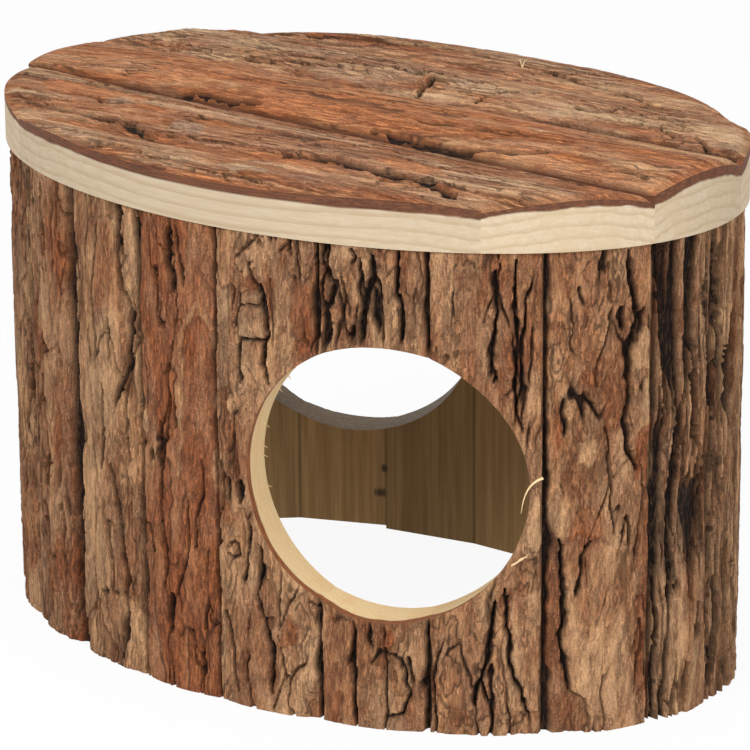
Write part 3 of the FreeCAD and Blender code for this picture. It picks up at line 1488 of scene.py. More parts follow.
def make_flakes() -> bpy.types.NodeTree:
    """Small flakes drawn out along the grain, each with a shade of its own, and the gaps between them."""
    sheet, takes, gives = new_group(
        "bark_flakes", {"Stretch": "Vector", "Wander": "Float"}, {"Shade": "Float", "Gap": "Float"}
    )
    place = sheet.add("TexCoord").outputs["Object"]
    drawn = sheet.vector("MULTIPLY", place, takes["Stretch"])
    drawn = sheet.vector("ADD", drawn, takes["Wander"])
    flake = sheet.add("TexVoronoi", {"Vector": drawn, "Scale": 1.0}, feature="F1")
    border = sheet.add("TexVoronoi", {"Vector": drawn, "Scale": 1.0}, feature="DISTANCE_TO_EDGE")
    shade = sheet.add("SeparateColor", {"Color": flake.outputs["Color"]})
    sheet.feed(gives["Shade"], shade.outputs[0])
    sheet.feed(gives["Gap"], sheet.spread(border.outputs["Distance"], 0.02, 0.14, 1.0, 0.0))
    return sheet.tree


def make_grime_and_shade() -> bpy.types.NodeTree:
    """Dark dirt in the hollows, and the shade that is painted into them."""
    sheet, takes, gives = new_group(
        "hollow_grime_and_shade", {"Color": "Color", "Grime": "Color", "Hollow": "Float", "Break-up": "Float"},
        {"Color": "Color"},
    )
    uneven = sheet.maths("MULTIPLY_ADD", takes["Break-up"], 0.5, 0.75)
    share = sheet.maths("MULTIPLY", takes["Hollow"], uneven, clamp=True)
    sheet.feed(gives["Color"], sheet.mix(share, takes["Color"], takes["Grime"]))
    return sheet.tree


def make_rings() -> bpy.types.NodeTree:
    """Growth rings at even depths below the bark, with a soft start and a hard dark end each."""
    sheet, takes, gives = new_group(
        "growth_rings", {"Depth": "Float", "Wander": "Float", "Per mm": "Float"}, {"Late wood": "Float"}
    )
    depth = sheet.maths("MULTIPLY_ADD", takes["Wander"], 0.9, takes["Depth"])
    count = sheet.maths("FRACT", sheet.maths("MULTIPLY", depth, takes["Per mm"]))
    rise = sheet.spread(count, 0.45, 0.93, 0.0, 1.0)
    fall = sheet.spread(count, 0.93, 1.0, 1.0, 0.0)
    sheet.feed(gives["Late wood"], sheet.maths("MULTIPLY", rise, fall))
    return sheet.tree


def new_material(name: str) -> tuple[bpy.types.Material, NodeSheet, bpy.types.Node]:
    """Starts a material, and gives it, its sheet and its Principled shader."""
    material = bpy.data.materials.new(name)
    material.use_nodes = True
    tree = material.node_tree
    tree.nodes.clear()
    sheet = NodeSheet(tree)
    shader = sheet.add("BsdfPrincipled")
    output = sheet.add("OutputMaterial")
    tree.links.new(shader.outputs[0], output.inputs["Surface"])
    return material, sheet, shader


@dataclass(frozen=True)
class BarkFinish:
    """The bark's colours, from its weathered tops to its fissures, and its fibres.

    Attributes:
        name: the material's name.
        light: the palest plates.
        dark: the darkest ones.
        red: the inner bark where flakes have come off.
        deep_red: that inner bark in its darker places.
        grey: weathered tops.
        grime: the dirt in the fissures, which is also painted as shade in them, along the scales' steps and
            in the grooves between planks.
        stretch: how close the fibres lie along X, Y and Z, per metre.
        flakes: how close the small flakes lie, likewise.
        roughness: the surface's roughness.
    """

    name: str
    light: tuple
    dark: tuple
    red: tuple
    deep_red: tuple
    grey: tuple
    grime: tuple
    stretch: tuple[float, float, float]
    flakes: tuple[float, float, float]
    roughness: float = 0.88

    def make(self, shared: SharedEffects) -> bpy.types.Material:
        """Builds the material."""
        material, sheet, shader = new_material(self.name)
        grain = sheet.group(shared.streaks, {"Stretch": self.stretch})
        fibres = grain.outputs["Fibres"]
        specks = grain.outputs["Specks"]
        blotches = grain.outputs["Blotches"]
        wander = sheet.maths("ADD", sheet.spread(fibres, 0.0, 1.0, 0.0, 0.5), blotches)
        flakes = sheet.group(shared.flakes, {"Stretch": self.flakes, "Wander": wander})
        shade = flakes.outputs["Shade"]
        open_gap = sheet.maths("MULTIPLY", flakes.outputs["Gap"], sheet.spread(blotches, 0.2, 0.8, 0.1, 0.9))
        mottled = sheet.spread(shade, 0.0, 1.0, -0.15, 0.15)
        streaky = sheet.maths("ADD", sheet.spread(fibres, 0.0, 1.0, -0.2, 0.2), mottled)
        tone = sheet.maths("ADD", sheet.mask(Mask.TONE), streaky, clamp=True)
        body = sheet.mix(tone, self.dark, self.light)
        inner = sheet.mix(fibres, self.deep_red, self.red)
        patches = sheet.spread(blotches, 0.0, 1.0, -0.15, 0.15)
        red = sheet.maths("ADD", sheet.mask(Mask.RED), patches, clamp=True)
        colour = sheet.mix(red, body, inner)
        speckled = sheet.spread(specks, 0.2, 0.9, 0.35, 1.0)
        grey = sheet.maths("MULTIPLY", sheet.mask(Mask.GREY), speckled, clamp=True)
        weathered = sheet.mix(tone, sheet.mix(0.5, self.grey, self.dark), self.grey)
        colour = sheet.mix(sheet.maths("MULTIPLY", grey, 0.8), colour, weathered)
        colour = sheet.shade(colour, sheet.spread(specks, 0.0, 1.0, 0.84, 1.16))
        # Painted shade: the hollows take their shade, and the gaps between the small flakes are painted dark,
        # partly as dark crevices and partly as their shade.
        hollow = sheet.maths("MAXIMUM", sheet.mask(Mask.HOLLOW_SHADE), sheet.maths("MULTIPLY", open_gap, 0.45))
        shaded_and_dirty = sheet.group(
            shared.grime,
            {"Color": colour, "Grime": self.grime, "Hollow": hollow, "Break-up": fibres},
        )
        sheet.feed(shader.inputs["Base Color"], shaded_and_dirty.outputs["Color"])
        rough = sheet.spread(fibres, 0.0, 1.0, self.roughness - 0.06, self.roughness + 0.06)
        sheet.feed(shader.inputs["Roughness"], rough)
        height = sheet.maths("MULTIPLY_ADD", specks, 0.8, fibres)
        height = sheet.maths("ADD", height, sheet.maths("SUBTRACT", shade, open_gap))
        sheet.bump(shader, height, 0.9, 0.4 * MM)
        shader.inputs["Specular IOR Level"].default_value = 0.25
        return material


@dataclass(frozen=True)
class PineFinish:
    """Sawn softwood, with its bark where a cut shows it.

    Attributes:
        name: the material's name.
        early: the pale early wood.
        late: the rings' late wood.
        stain: broad uneven patches.
        bark: the bark's section.
        bark_dark: its darker layers.
        stretch: how close the fibres lie along X, Y and Z, per metre.
        grime: what lies in the joints between planks, and the colour of the knots.
        bark_depth: how deep the bark goes.
        layers_per_mm: how close the bark's own layers are.
        rings_per_mm: how close the growth rings are.
        ring_share: how strongly the rings show.
        fibre_share: how strongly the fibres show.
        plank_share: how much darker one plank's wood may be than another's.
        seam_share: how dark the joints between planks are.
        knots: dark specks and knots, each as its X, Y, Z and radius in millimetres.
    """

    name: str
    early: tuple
    late: tuple
    stain: tuple
    bark: tuple
    bark_dark: tuple
    stretch: tuple[float, float, float]
    grime: tuple = (0.012, 0.007, 0.004, 1.0)
    bark_depth: float = 3.1
    layers_per_mm: float = 1.3
    rings_per_mm: float = 0.55
    ring_share: float = 0.5
    fibre_share: float = 0.25
    plank_share: float = 0.12
    seam_share: float = 0.0
    knots: tuple[tuple[float, float, float, float], ...] = ()

    def make(self, shared: SharedEffects) -> bpy.types.Material:
        """Builds the material."""
        material, sheet, shader = new_material(self.name)
        grain = sheet.group(shared.streaks, {"Stretch": self.stretch})
        fibres = grain.outputs["Fibres"]
        blotches = grain.outputs["Blotches"]
        depth = sheet.mask(Mask.DEPTH)
        rings = sheet.group(shared.rings, {"Depth": depth, "Wander": blotches, "Per mm": self.rings_per_mm})
        late = sheet.maths("MULTIPLY", rings.outputs["Late wood"], self.ring_share)
        wood = sheet.mix(late, self.early, self.late)
        wood = sheet.mix(sheet.maths("MULTIPLY", fibres, self.fibre_share), wood, self.late)
        wood = sheet.mix(sheet.spread(blotches, 0.45, 1.0, 0.0, 0.5), wood, self.stain)
        own = sheet.spread(sheet.mask(Mask.PLANK), 0.0, 1.0, 1.0 - self.plank_share, 1.0)
        wood = sheet.shade(wood, own)
        from_edge = sheet.maths("MINIMUM", sheet.mask(Mask.LEFT), sheet.mask(Mask.RIGHT))
        wood = sheet.mix(sheet.spread(from_edge, 0.15, 0.7, self.seam_share, 0.0), wood, self.grime)
        place = sheet.add("TexCoord").outputs["Object"]
        ragged = sheet.spread(fibres, 0.0, 1.0, -0.4 * MM, 0.4 * MM)
        for x, y, z, reach in self.knots:
            middle = (x * MM, y * MM, z * MM)
            off = sheet.add("VectorMath", {0: place, 1: middle}, operation="DISTANCE").outputs["Value"]
            dark = sheet.spread(sheet.maths("ADD", off, ragged), 0.4 * reach * MM, reach * MM, 0.8, 0.0)
            wood = sheet.mix(dark, wood, self.grime)
        bark = sheet.mix(fibres, self.bark_dark, self.bark)
        layers = sheet.group(shared.rings, {"Depth": depth, "Wander": fibres, "Per mm": self.layers_per_mm})
        bark = sheet.mix(sheet.maths("MULTIPLY", layers.outputs["Late wood"], 0.7), bark, self.bark_dark)
        edge = sheet.maths("MULTIPLY_ADD", blotches, 0.7, self.bark_depth - 0.35)
        under = sheet.spread(sheet.maths("SUBTRACT", depth, edge), -0.3, 0.35, 0.0, 1.0)
        sheet.feed(shader.inputs["Base Color"], sheet.mix(under, bark, wood))
        sheet.feed(shader.inputs["Roughness"], sheet.spread(fibres, 0.0, 1.0, 0.62, 0.78))
        sheet.bump(shader, fibres, 0.35, 0.12 * MM)
        shader.inputs["Specular IOR Level"].default_value = 0.3
        return material


@dataclass(frozen=True)
class FloorFinish:
    """A plain white floor, which looks about white to the camera and keeps the house's shadow.

    Attributes:
        name: the material's name.
        colour: its colour.
        cloud: the colour that it clouds over to.
        cloudy: how much it does, as a share.
        seen_share: the share of its own light in what the camera sees of it.
        lit_share: that share in the light that it sends to other things.
        glow: how strong that light is.
    """

    name: str = "studio_floor"
    colour: tuple = (0.9, 0.9, 0.9, 1.0)
    cloud: tuple = (0.8, 0.8, 0.8, 1.0)
    cloudy: float = 0.02
    seen_share: float = 0.93
    lit_share: float = 0.6
    glow: float = 0.45

    def make(self) -> bpy.types.Material:
        """Builds the material."""
        material = bpy.data.materials.new(self.name)
        material.use_nodes = True
        tree = material.node_tree
        tree.nodes.clear()
        sheet = NodeSheet(tree)
        clouds = sheet.noise(sheet.add("TexCoord").outputs["Object"], 2.0, 2.0)
        pale = sheet.mix(sheet.spread(clouds, 0.0, 1.0, 0.0, self.cloudy), self.colour, self.cloud)
        diffuse = sheet.add("BsdfDiffuse", {"Color": pale})
        seen = sheet.seen()
        strength = sheet.spread(seen, 0.0, 1.0, self.glow, 1.0)
        glow = sheet.add("Emission", {"Color": WHITE, "Strength": strength})
        both = sheet.add("MixShader", {0: sheet.spread(seen, 0.0, 1.0, self.lit_share, self.seen_share)})
        tree.links.new(diffuse.outputs[0], both.inputs[1])
        tree.links.new(glow.outputs[0], both.inputs[2])
        output = sheet.add("OutputMaterial")
        tree.links.new(both.outputs[0], output.inputs["Surface"])
        return material


@dataclass(frozen=True)
class Lamp:
    """One soft square lamp, which looks at the house."""

    name: str
    place: Place
    power: float
    size: float


@dataclass
class Studio:
    """The floor, the lamps, the world and the camera. Lengths here are metres.

    Attributes:
        azimuth: how far the camera stands round to the right of the front, in degrees.
        elevation: how far it looks down.
        roll: how far it is tilted.
        distance: how far it is from its target.
        target: what it looks at.
        lens: its focal length, in millimetres.
        sensor: how wide its sensor is, in millimetres.
        farthest: how far it sees.
        ambient: the light from all round.
        lamps: the lamps.
        floor_side: how wide the floor is.
    """

    azimuth: float = 34.772
    elevation: float = 18.635
    roll: float = -0.361
    distance: float = 1.0946
    target: Place = (0.001578, 0.0, 0.063851)
    lens: float = 212.16
    sensor: float = 36.0
    farthest: float = 50.0
    ambient: float = 0.44
    lamps: tuple[Lamp, ...] = (
        Lamp("key_lamp", (0.0, -1.15, 0.9), 11.5, 0.5),
        Lamp("fill_lamp", (1.3, -0.6, 0.6), 12.0, 1.0),
        Lamp("top_lamp", (-0.2, 0.2, 1.4), 4.5, 1.0),
    )
    floor_side: float = 12.0

    def make_floor(self) -> None:
        """Lays the floor."""
        bpy.ops.object.select_all(action="DESELECT")
        bpy.ops.mesh.primitive_plane_add(size=self.floor_side, location=(0, 0, 0))
        floor = bpy.context.object
        floor.name = "studio_floor"
        floor.data.materials.append(FloorFinish().make())

    def make_lamps(self) -> None:
        """Hangs the lamps."""
        for lamp in self.lamps:
            place = Vector(lamp.place)
            aim = (Vector(self.target) - place).to_track_quat("-Z", "Y").to_euler()
            bpy.ops.object.light_add(type="AREA", location=place, rotation=aim)
            light = bpy.context.object
            light.name = lamp.name
            light.data.shape = "SQUARE"
            light.data.size = lamp.size
            light.data.energy = lamp.power

    def make_world(self) -> None:
        """Makes the light from all round, which the camera sees as white."""
        world = bpy.data.worlds.new("studio_world")
        world.use_nodes = True
        tree = world.node_tree
        tree.nodes.clear()
        sheet = NodeSheet(tree)
        named = {"Value": sheet.seen(), "To Min": self.ambient, "To Max": 1.0}
        strength = sheet.add("MapRange", named).outputs[0]
        background = sheet.add("Background", {"Color": WHITE, "Strength": strength})
        output = sheet.add("OutputWorld")
        tree.links.new(background.outputs[0], output.inputs["Surface"])
        bpy.context.scene.world = world

    def make_camera(self) -> None:
        """Sets the camera at the photograph's viewing angle."""
        azimuth, elevation, roll = map(math.radians, (self.azimuth, self.elevation, self.roll))
        level = math.cos(elevation)
        back = Vector((math.sin(azimuth) * level, -math.cos(azimuth) * level, math.sin(elevation)))
        right = Vector((math.cos(azimuth), math.sin(azimuth), 0))
        up = back.cross(right)
        side = right * math.cos(roll) + up * math.sin(roll)
        top = up * math.cos(roll) - right * math.sin(roll)
        turn = Matrix((side, top, back)).transposed().to_euler()
        place = Vector(self.target) + back * self.distance
        bpy.ops.object.camera_add(location=place, rotation=turn)
        camera = bpy.context.object
        camera.name = "photo_camera"
        camera.data.lens = self.lens
        camera.data.sensor_width = self.sensor
        camera.data.clip_end = self.farthest
        bpy.context.scene.camera = camera

    def build(self) -> None:
        """Builds all of it, and sets the plain view transform."""
        self.make_camera()
        self.make_floor()
        self.make_lamps()
        self.make_world()
        bpy.context.scene.view_settings.view_transform = "Standard"


STRINGY = BarkStyle(
    scale_width=2.6, scale_length=50.0, layers=4.0, layer_step=0.5, crack_gap=3.6, crack_run=120.0,
    crack_width=2.0, crack_depth=2.6, cracked=0.8, plate_width=4.0, plate_length=60.0, plate_step=0.8,
    fibre=0.2, patchy=1.2, tone=0.58, red=0.28, grey=0.42,
)
PLATED = BarkStyle()
SMOOTH_RED = BarkStyle(
    scale_width=9.0, scale_length=50.0, layers=3.0, layer_step=0.22, crack_gap=11.0, crack_run=80.0,
    crack_width=0.8, cracked=0.4, plate_width=12.0, plate_length=70.0, plate_step=0.3, rough=0.12,
    fibre=0.16, lift=0.7, tone=0.25, red=0.95, grey=0.0,
)
TAN = BarkStyle(
    scale_width=7.0, scale_length=26.0, layer_step=0.3, crack_width=0.9, cracked=0.45, plate_step=0.45,
    lift=0.8, tone=0.6, red=0.22, grey=0.3,
)


def stave_16() -> BarkSheet:
    """The leftmost stave that the front shows, with a dark fissure at its right edge."""
    return BarkSheet(
        SurfaceNoise(16), PLATED,
        cracks=(
            Crack(((19, 86), (22, 79), (24.5, 73)), 1.3, 2.5),
            Crack(((24, 66), (23.5, 62.5), (20, 48)), 2.4, 2.8),
            Crack(((21, 102.5), (20, 96.5)), 0.8, 2.0),
        ),
    )


def stave_17() -> BarkSheet:
    """Tan on its left and reddish brown on its right, with a wide dark groove beyond."""
    return BarkSheet(
        SurfaceNoise(17), PLATED, right=Shoulder(3.0, 2.85, 0.35),
        cracks=(
            Crack(((0, 72), (3, 66.5), (4, 58), (4.5, 50.5)), 1.1, 2.4),
            Crack(((11.5, 116), (11, 109.5), (11.5, 103)), 0.7, 1.8),
            Crack(((17, 116), (16.5, 95.5)), 0.6, 1.6),
            Crack(((4.5, 31), (7, 33), (9.5, 31), (10, 27)), 0.8, 2.2),
            Crack(((6, 28), (8.5, 28.5), (10, 25), (9, 22)), 0.9, 2.3),
            Crack(((5, 24), (7.5, 21), (11, 19), (13, 20)), 0.8, 2.2),
        ),
        facets=(
            Facet(((13, -5), (28, -5), (28, 125), (12, 125), (14, 60)), 0.2, 0.2, -0.1, 0.35),
            Facet(((5, 33), (9, 34), (12, 29), (13, 20), (8, 18), (4.5, 25)), 0.5, 0.3, -0.25, 0.1, 0.2),
        ),
    )


def stave_18() -> BarkSheet:
    """Tan, with two long cracks."""
    return BarkSheet(
        SurfaceNoise(18), TAN, left=Shoulder(1.7, 2.8, 0.5),
        cracks=(
            Crack(((11.5, 112.5), (10.5, 104), (9, 96), (9, 90.5), (10, 83), (9.5, 75.5)), 0.5, 1.5),
            Crack(((12, 72), (12.5, 60.5), (12.5, 58.5), (11, 50)), 0.5, 1.5),
            Crack(
                ((19.5, 114.5), (19, 106.5), (20, 99), (22.5, 94.5), (23.5, 92), (22, 83), (21.5, 78.5),
                 (19, 72.5), (17, 68.5)), 1.3, 2.5,
            ),
            Crack(((24.5, 117.5), (25.5, 108), (25.5, 101.5)), 0.7, 2.0),
            Crack(((15, 89), (15, 79)), 0.5, 1.4),
            Crack(((20, 118.5), (20, 116)), 1.6, 2.8),
            Crack(
                ((15, 52), (16, 46.5), (17.5, 39), (19, 31.5), (19.5, 24), (19.5, 13.5), (17.5, 2.5)),
                1.2, 2.5,
            ),
        ),
        facets=(
            Facet(((10, 112), (18.5, 114), (18.5, 121), (10, 121)), 0.9, tone=-0.15, grey=0.2),
            Facet(((10.5, 90), (19, 92), (18.5, 112.5), (11.5, 112)), -0.2, 0.8, 0.15, 0.15, -0.2),
        ),
    )


def stave_19() -> BarkSheet:
    """Smooth red-brown inner bark, with an arched scar and three dark hollows."""
    return BarkSheet(
        SurfaceNoise(19), SMOOTH_RED,
        cracks=(
            Crack(((11.5, 116), (10.5, 107.5), (12.5, 104.5), (12, 101)), 1.8, 2.7),
            Crack(((13.5, 117), (14, 112.5), (15, 107), (15.5, 103)), 0.6, 1.6),
            Crack(((8.5, 97.5), (8, 93)), 0.5, 1.4),
            Crack(((3.5, 59), (3.5, 57)), 1.6, 2.8),
            Crack(((7.5, 67.5), (7, 61), (7, 50), (7.5, 40), (8.5, 30.5), (8, 28)), 0.7, 1.7),
            Crack(((0, 41), (2.5, 39.5), (4, 33.5)), 0.6, 1.6),
            Crack(((10, 23.5), (9.5, 20.5), (9.5, 14.5)), 1.9, 2.8),
            Crack(((15.5, 49), (15.5, 35.5), (11.5, 24)), 0.5, 1.3),
            Crack(((19.5, 60), (20, 53), (18, 45.5), (17.5, 37.5)), 0.6, 1.4),
        ),
        facets=(
            Facet(
                ((13, 55), (13, 78), (13.5, 88.5), (15.5, 95.5), (18, 99), (23, 97), (24.5, 93),
                 (24.5, 55)), -0.3, 0.9, 0.4, -0.25,
            ),
            Facet(
                ((14.5, 50), (14.5, 77.5), (15, 87.5), (16.5, 94), (18, 97), (22, 95.5), (23, 91),
                 (23.5, 81), (23, 50)), 0.6, 1.0, -0.6, 0.45,
            ),
            Facet(((0.5, 36), (7, 37), (7.5, 45), (6.5, 55), (0.5, 54)), -0.3, 0.7, 0.2, 0.2),
            Facet(((0.5, 64.5), (3.5, 64), (3.5, 68), (2.5, 70.5), (0.5, 70)), -0.4, 1.0, 0.5, -0.7, 0.2),
        ),
    )


def stave_20() -> BarkSheet:
    """Small plates above and a knot by the doorway."""
    return BarkSheet(
        SurfaceNoise(20), PLATED, left=Shoulder(0.5, 1.8), right=Shoulder(1.3, 2.7),
        cracks=(
            Crack(
                ((10.5, 111), (12, 107.5), (14, 104.5), (15, 97), (15.5, 94.5), (14.5, 93), (14, 87),
                 (15.5, 83)), 1.1, 2.4,
            ),
            Crack(((7.5, 103.5), (7.5, 99), (6.5, 95.5)), 0.7, 1.8),
            Crack(((8, 92), (7, 86), (8, 82)), 0.8, 2.0),
            Crack(((8, 101), (14, 101.5)), 0.4, 1.2),
            Crack(((8, 93), (14.5, 93)), 0.6, 1.6),
            Crack(((7, 56.5), (7, 52)), 1.7, 2.8),
            Crack(((3.5, 57), (3.5, 51.5)), 0.6, 1.6),
            Crack(((3, 38), (4.5, 37), (6, 38), (5.5, 40.5), (4.5, 41), (3, 40)), 0.5, 1.3),
            Crack(((9.5, 48.5), (9, 36), (8, 32)), 0.7, 1.8),
            Crack(
                ((13, 41.5), (13, 37), (11.5, 29), (12, 26), (14.5, 20.5), (15.5, 13.5), (15.5, 5.5)),
                1.1, 2.4,
            ),
            Crack(((2, 23), (4, 16), (5.5, 3.5)), 0.7, 1.7),
        ),
        facets=(
            Facet(((2, 104), (7, 104.5), (7, 121), (2, 121)), -0.3, 0.8, 0.35, 0.05, -0.2),
            Facet(((1.5, 80), (4, 80), (4, 103), (1.5, 103.5)), 0.5, 0.5, -0.35, -0.3, 0.4),
            Facet(((3.5, 75), (5, 74.5), (5, 76.5), (4, 77.5), (3, 77)), -0.5, 1.0, 0.9, -1.0, -0.5),
            Facet(((7.5, 106), (12.5, 106.5), (12, 110), (7.5, 110)), 0.3, 0.7, 0.0, 0.5),
            Facet(((8, 93.5), (14.5, 93.5), (14.5, 101), (13, 105.5), (8, 105)), -0.3, 0.8, 0.1, -0.3, 0.35),
            Facet(((12.5, 107.5), (17.5, 108), (18, 116), (13, 116.5)), -0.3, 0.8, 0.1, -0.2, 0.3),
            Facet(((18, 91.5), (22, 92), (21.5, 110), (18, 110)), -0.2, 0.7, 0.2, -0.2),
            Facet(((8.5, 92), (14.5, 92.5), (14, 83), (12, 76), (9.5, 80)), -0.3, 0.7, 0.05, 0.1),
            Facet(((22, 85), (26, 85), (26, 107), (22, 107)), 0.3, 0.4, -0.15, 0.4),
            Facet(((1.5, 46.5), (4.5, 46), (5.5, 49.5), (4, 52), (1.5, 52)), 0.6, 0.5, 0.15, 0.3),
            Facet(((2, 44), (4.5, 43), (7, 44), (7, 45.5), (4.5, 46), (2, 45.5)), -0.3, 1.0, -0.1, -0.3, 0.6),
            Facet(((17, 18), (22.5, 17.5), (23, 24), (18, 25)), 0.4, 0.6, -0.3, 0.5),
        ),
    )


def stave_1() -> BarkSheet:
    """The front doorway's lintel and sill."""
    return BarkSheet(
        SurfaceNoise(1), PLATED, left=Shoulder(0.5, 1.6), right=Shoulder(1.1, 2.4),
        cracks=(
            Crack(((2.5, 113), (3, 111.5), (5, 109.5), (4, 105.5), (2.5, 103), (3, 99), (2, 92)), 1.1, 2.4),
            Crack(((3, 113), (3, 111)), 1.9, 2.8),
            Crack(((14, 117), (14, 111.5), (13, 107), (12, 102.5), (11, 95)), 1.4, 2.5),
            Crack(((14, 111.5), (15, 107), (15, 101)), 0.7, 1.8),
            Crack(((20, 118), (20, 108.5), (21, 102.5), (21, 97)), 1.0, 2.2),
            Crack(((9, 118), (10, 116.5), (9, 114.5)), 0.6, 1.4),
            Crack(((9, 26), (8.5, 16), (9, 10), (9.5, 0)), 1.1, 2.4),
            Crack(((22, 18.5), (23.5, 12.5)), 0.6, 1.6),
            Crack(
                ((13, 16), (15, 19.5), (18.5, 19.5), (21.5, 16), (22.5, 9), (20.5, 4), (17, 3)),
                0.6, 1.6,
            ),
            Crack(((26, 13), (26, 11)), 1.8, 2.8),
        ),
        facets=(
            Facet(((21, 90), (27.5, 90), (27.5, 121), (21, 121)), 0.35, 0.5, -0.3, 0.25),
            Facet(((2, -2), (8.5, -2), (8, 24), (2, 26)), -0.2, 0.7, 0.2, 0.05),
            Facet(((3.5, 8), (6.5, 8.5), (6.5, 12), (4, 12.5)), -0.3, 0.9, 0.25, -0.2),
            Facet(((16, 21.5), (18.5, 21.5), (18.5, 24.5), (16.5, 24.5)), 0.4, 0.8, -0.3, 0.5),
            Facet(((19, -2), (27.5, -2), (27.5, 12), (22.5, 12)), 0.4, 0.3, -0.25, 0.3),
        ),
    )


def stave_2() -> BarkSheet:
    """A pale plate above and strong cracks below, with a crisp right edge."""
    return BarkSheet(
        SurfaceNoise(2), PLATED, left=Shoulder(0.7, 2.0), right=Shoulder(0.4, 1.2),
        cracks=(
            Crack(((4, 19.5), (5, 21.5), (7, 22.5), (8.5, 18.5), (11, 12)), 0.5, 1.2),
            Crack(((15.5, 33.5), (15, 26.5), (14, 18.5), (11.5, 12), (11, 7)), 1.1, 2.5),
            Crack(((15, 18), (15, 2.5)), 0.7, 1.8),
            Crack(((18.5, 37), (19, 28), (19.5, 18), (20.5, 13.5), (22, 11), (23.5, 4.5)), 0.9, 2.1),
            Crack(((15.5, 114), (16, 104), (15, 96), (15.5, 88)), 0.8, 2.2),
            Crack(((20.5, 117), (20, 106), (21, 97), (20, 86), (22, 76)), 0.9, 2.4),
        ),
        facets=(
            Facet(
                ((-1, 121), (6.5, 121), (6.5, 114), (5, 106), (2.5, 99.5), (-1, 104)),
                -0.5, 0.9, 0.4, -0.1,
            ),
            Facet(((6.5, 115), (14.5, 114), (14.5, 84), (8, 83.5), (6.5, 100)), 0.35, 0.5, -0.35, 0.15),
            Facet(((19.5, 5), (26.5, 5), (26.5, 37), (20, 37)), -0.2, 1.0, 0.1, -0.1, 0.25),
        ),
    )


def stave_3() -> BarkSheet:
    """The widest face beside the doorway: a great pale plate below, and peeling scales above."""
    lower_edge = (
        (4, 49), (4.5, 43.5), (5.5, 29.5), (4.5, 25), (5.5, 16.5), (6.5, 11), (11, 8.5), (11.5, 1),
    )
    return BarkSheet(
        SurfaceNoise(3), PLATED, left=Shoulder(2.1, 2.85, 0.8), right=Shoulder(1.6, 2.85, 0.3),
        cracks=(
            Crack(
                ((20, 118), (21, 111.5), (22.5, 104.5), (23, 101.5), (21, 97), (20, 92.5), (20.5, 86.5),
                 (21, 82.5), (19.5, 77), (20.5, 69), (22.5, 64.5)), 1.4, 2.6,
            ),
            Crack(((21.5, 97), (20, 92.5), (20.5, 86)), 2.4, 2.7),
            Crack(((18.5, 104.5), (18, 102), (18.5, 99)), 1.4, 2.7),
            Crack(((8.5, 110), (9.5, 106)), 0.6, 1.4),
            Crack(((5, 83), (4.5, 80), (5.5, 75)), 0.8, 1.8),
            Crack(lower_edge[:6], 1.1, 2.5),
            Crack(((11.5, 48), (9, 44.5), (8.5, 37.5), (8, 35)), 0.7, 1.6),
        ),
        facets=(
            Facet(((3, 50.5), (14, 50.5), (15, 70), (14, 86), (4, 86)), 0.0, 0.0, 0.05, -0.4),
            Facet(((-1, 102.5), (1.5, 103), (1.5, 113), (-1, 114)), 1.6, 1.0, -0.1, -0.6, 0.7),
            Facet(((-1, 84), (2.5, 85), (2.5, 95), (-1, 95.5)), 1.7, 1.0, -0.4),
            Facet(((0.5, 68), (5.5, 69), (5, 79), (1, 80)), -0.3, 0.8, 0.0, 0.35),
            Facet(((21.5, 103), (29, 103), (29, 121), (21, 121)), -0.4, 0.9, 0.3, 0.1, -0.1),
            Facet(((21.5, 89), (26.5, 89.5), (26.5, 98), (22.5, 98.5)), -0.4, 0.9, 0.55, -0.3, -0.1),
            Facet(((22, 66), (26.5, 65), (26.5, 84), (21.5, 85)), -0.2, 0.7, 0.2, -0.1),
            Facet(((22, 64), (26.5, 64), (26.5, 75), (22.5, 74)), 0.2, 0.6, 0.0, 0.5, -0.2),
            Facet(((7.5, 66.5), (12, 66), (13.5, 70), (12.5, 73.5), (8, 73)), -0.5, 1.0, 0.6, -0.3),
            Facet(((-1, 64), (5, 63), (8.5, 58.5), (6.5, 53), (4, 49), (1.5, 55), (-1, 57)), -0.5, 0.9, 0.2),
            Facet(((6.5, 49), (14.5, 50), (14, 57), (7, 56)), -0.2, 0.7, 0.35, 0.3, -0.2),
            Facet(((-1, 50),) + lower_edge + ((9, -2), (-1, -2)), 1.7, 0.6, -0.6, 0.1, 0.1),
            Facet(lower_edge + ((12, -2), (23.5, -2), (24, 20), (23, 44), (15, 49)), -0.6, 0.55, 0.3, -0.1),
            Facet(((24, 8), (29, 8), (29, 65), (24, 65)), 0.2, 0.3, -0.05, 0.2, -0.1),
        ),
    )


def stave_4() -> BarkSheet:
    """Narrow and stringy, with rotted holes low down."""
    return BarkSheet(
        SurfaceNoise(4), STRINGY, left=Shoulder(0.5, 1.5),
        cracks=(
            Crack(((9, 112.5), (9, 103), (11.5, 85), (12.5, 65)), 2.0, 2.8),
            Crack(((0.5, 117.5), (1, 102.5)), 0.8, 2.2),
            Crack(((2.5, 117), (3, 102.5)), 0.8, 2.2),
            Crack(((14, 107), (16, 92)), 0.9, 2.3),
            Crack(((17, 96.5), (18, 87), (17.5, 72)), 0.9, 2.3),
            Crack(((11.5, 37.5), (11.5, 35)), 2.1, 2.8),
            Crack(((6.5, 34), (6.5, 32)), 1.7, 2.8),
            Crack(((14.5, 27), (14, 18.5)), 1.3, 2.7),
        ),
        facets=(Facet(((5.5, 12.5), (13, 13), (13, 28), (6, 28.5)), -0.4, 0.8, 0.3, -0.1),),
    )


def stave_5() -> BarkSheet:
    """The last stave that the front shows, stringy too."""
    cracks = (Crack(((2, 112.5), (3.5, 75.5), (3.5, 50.5)), 1.6, 2.7),)
    return BarkSheet(SurfaceNoise(5), STRINGY, cracks=cracks)


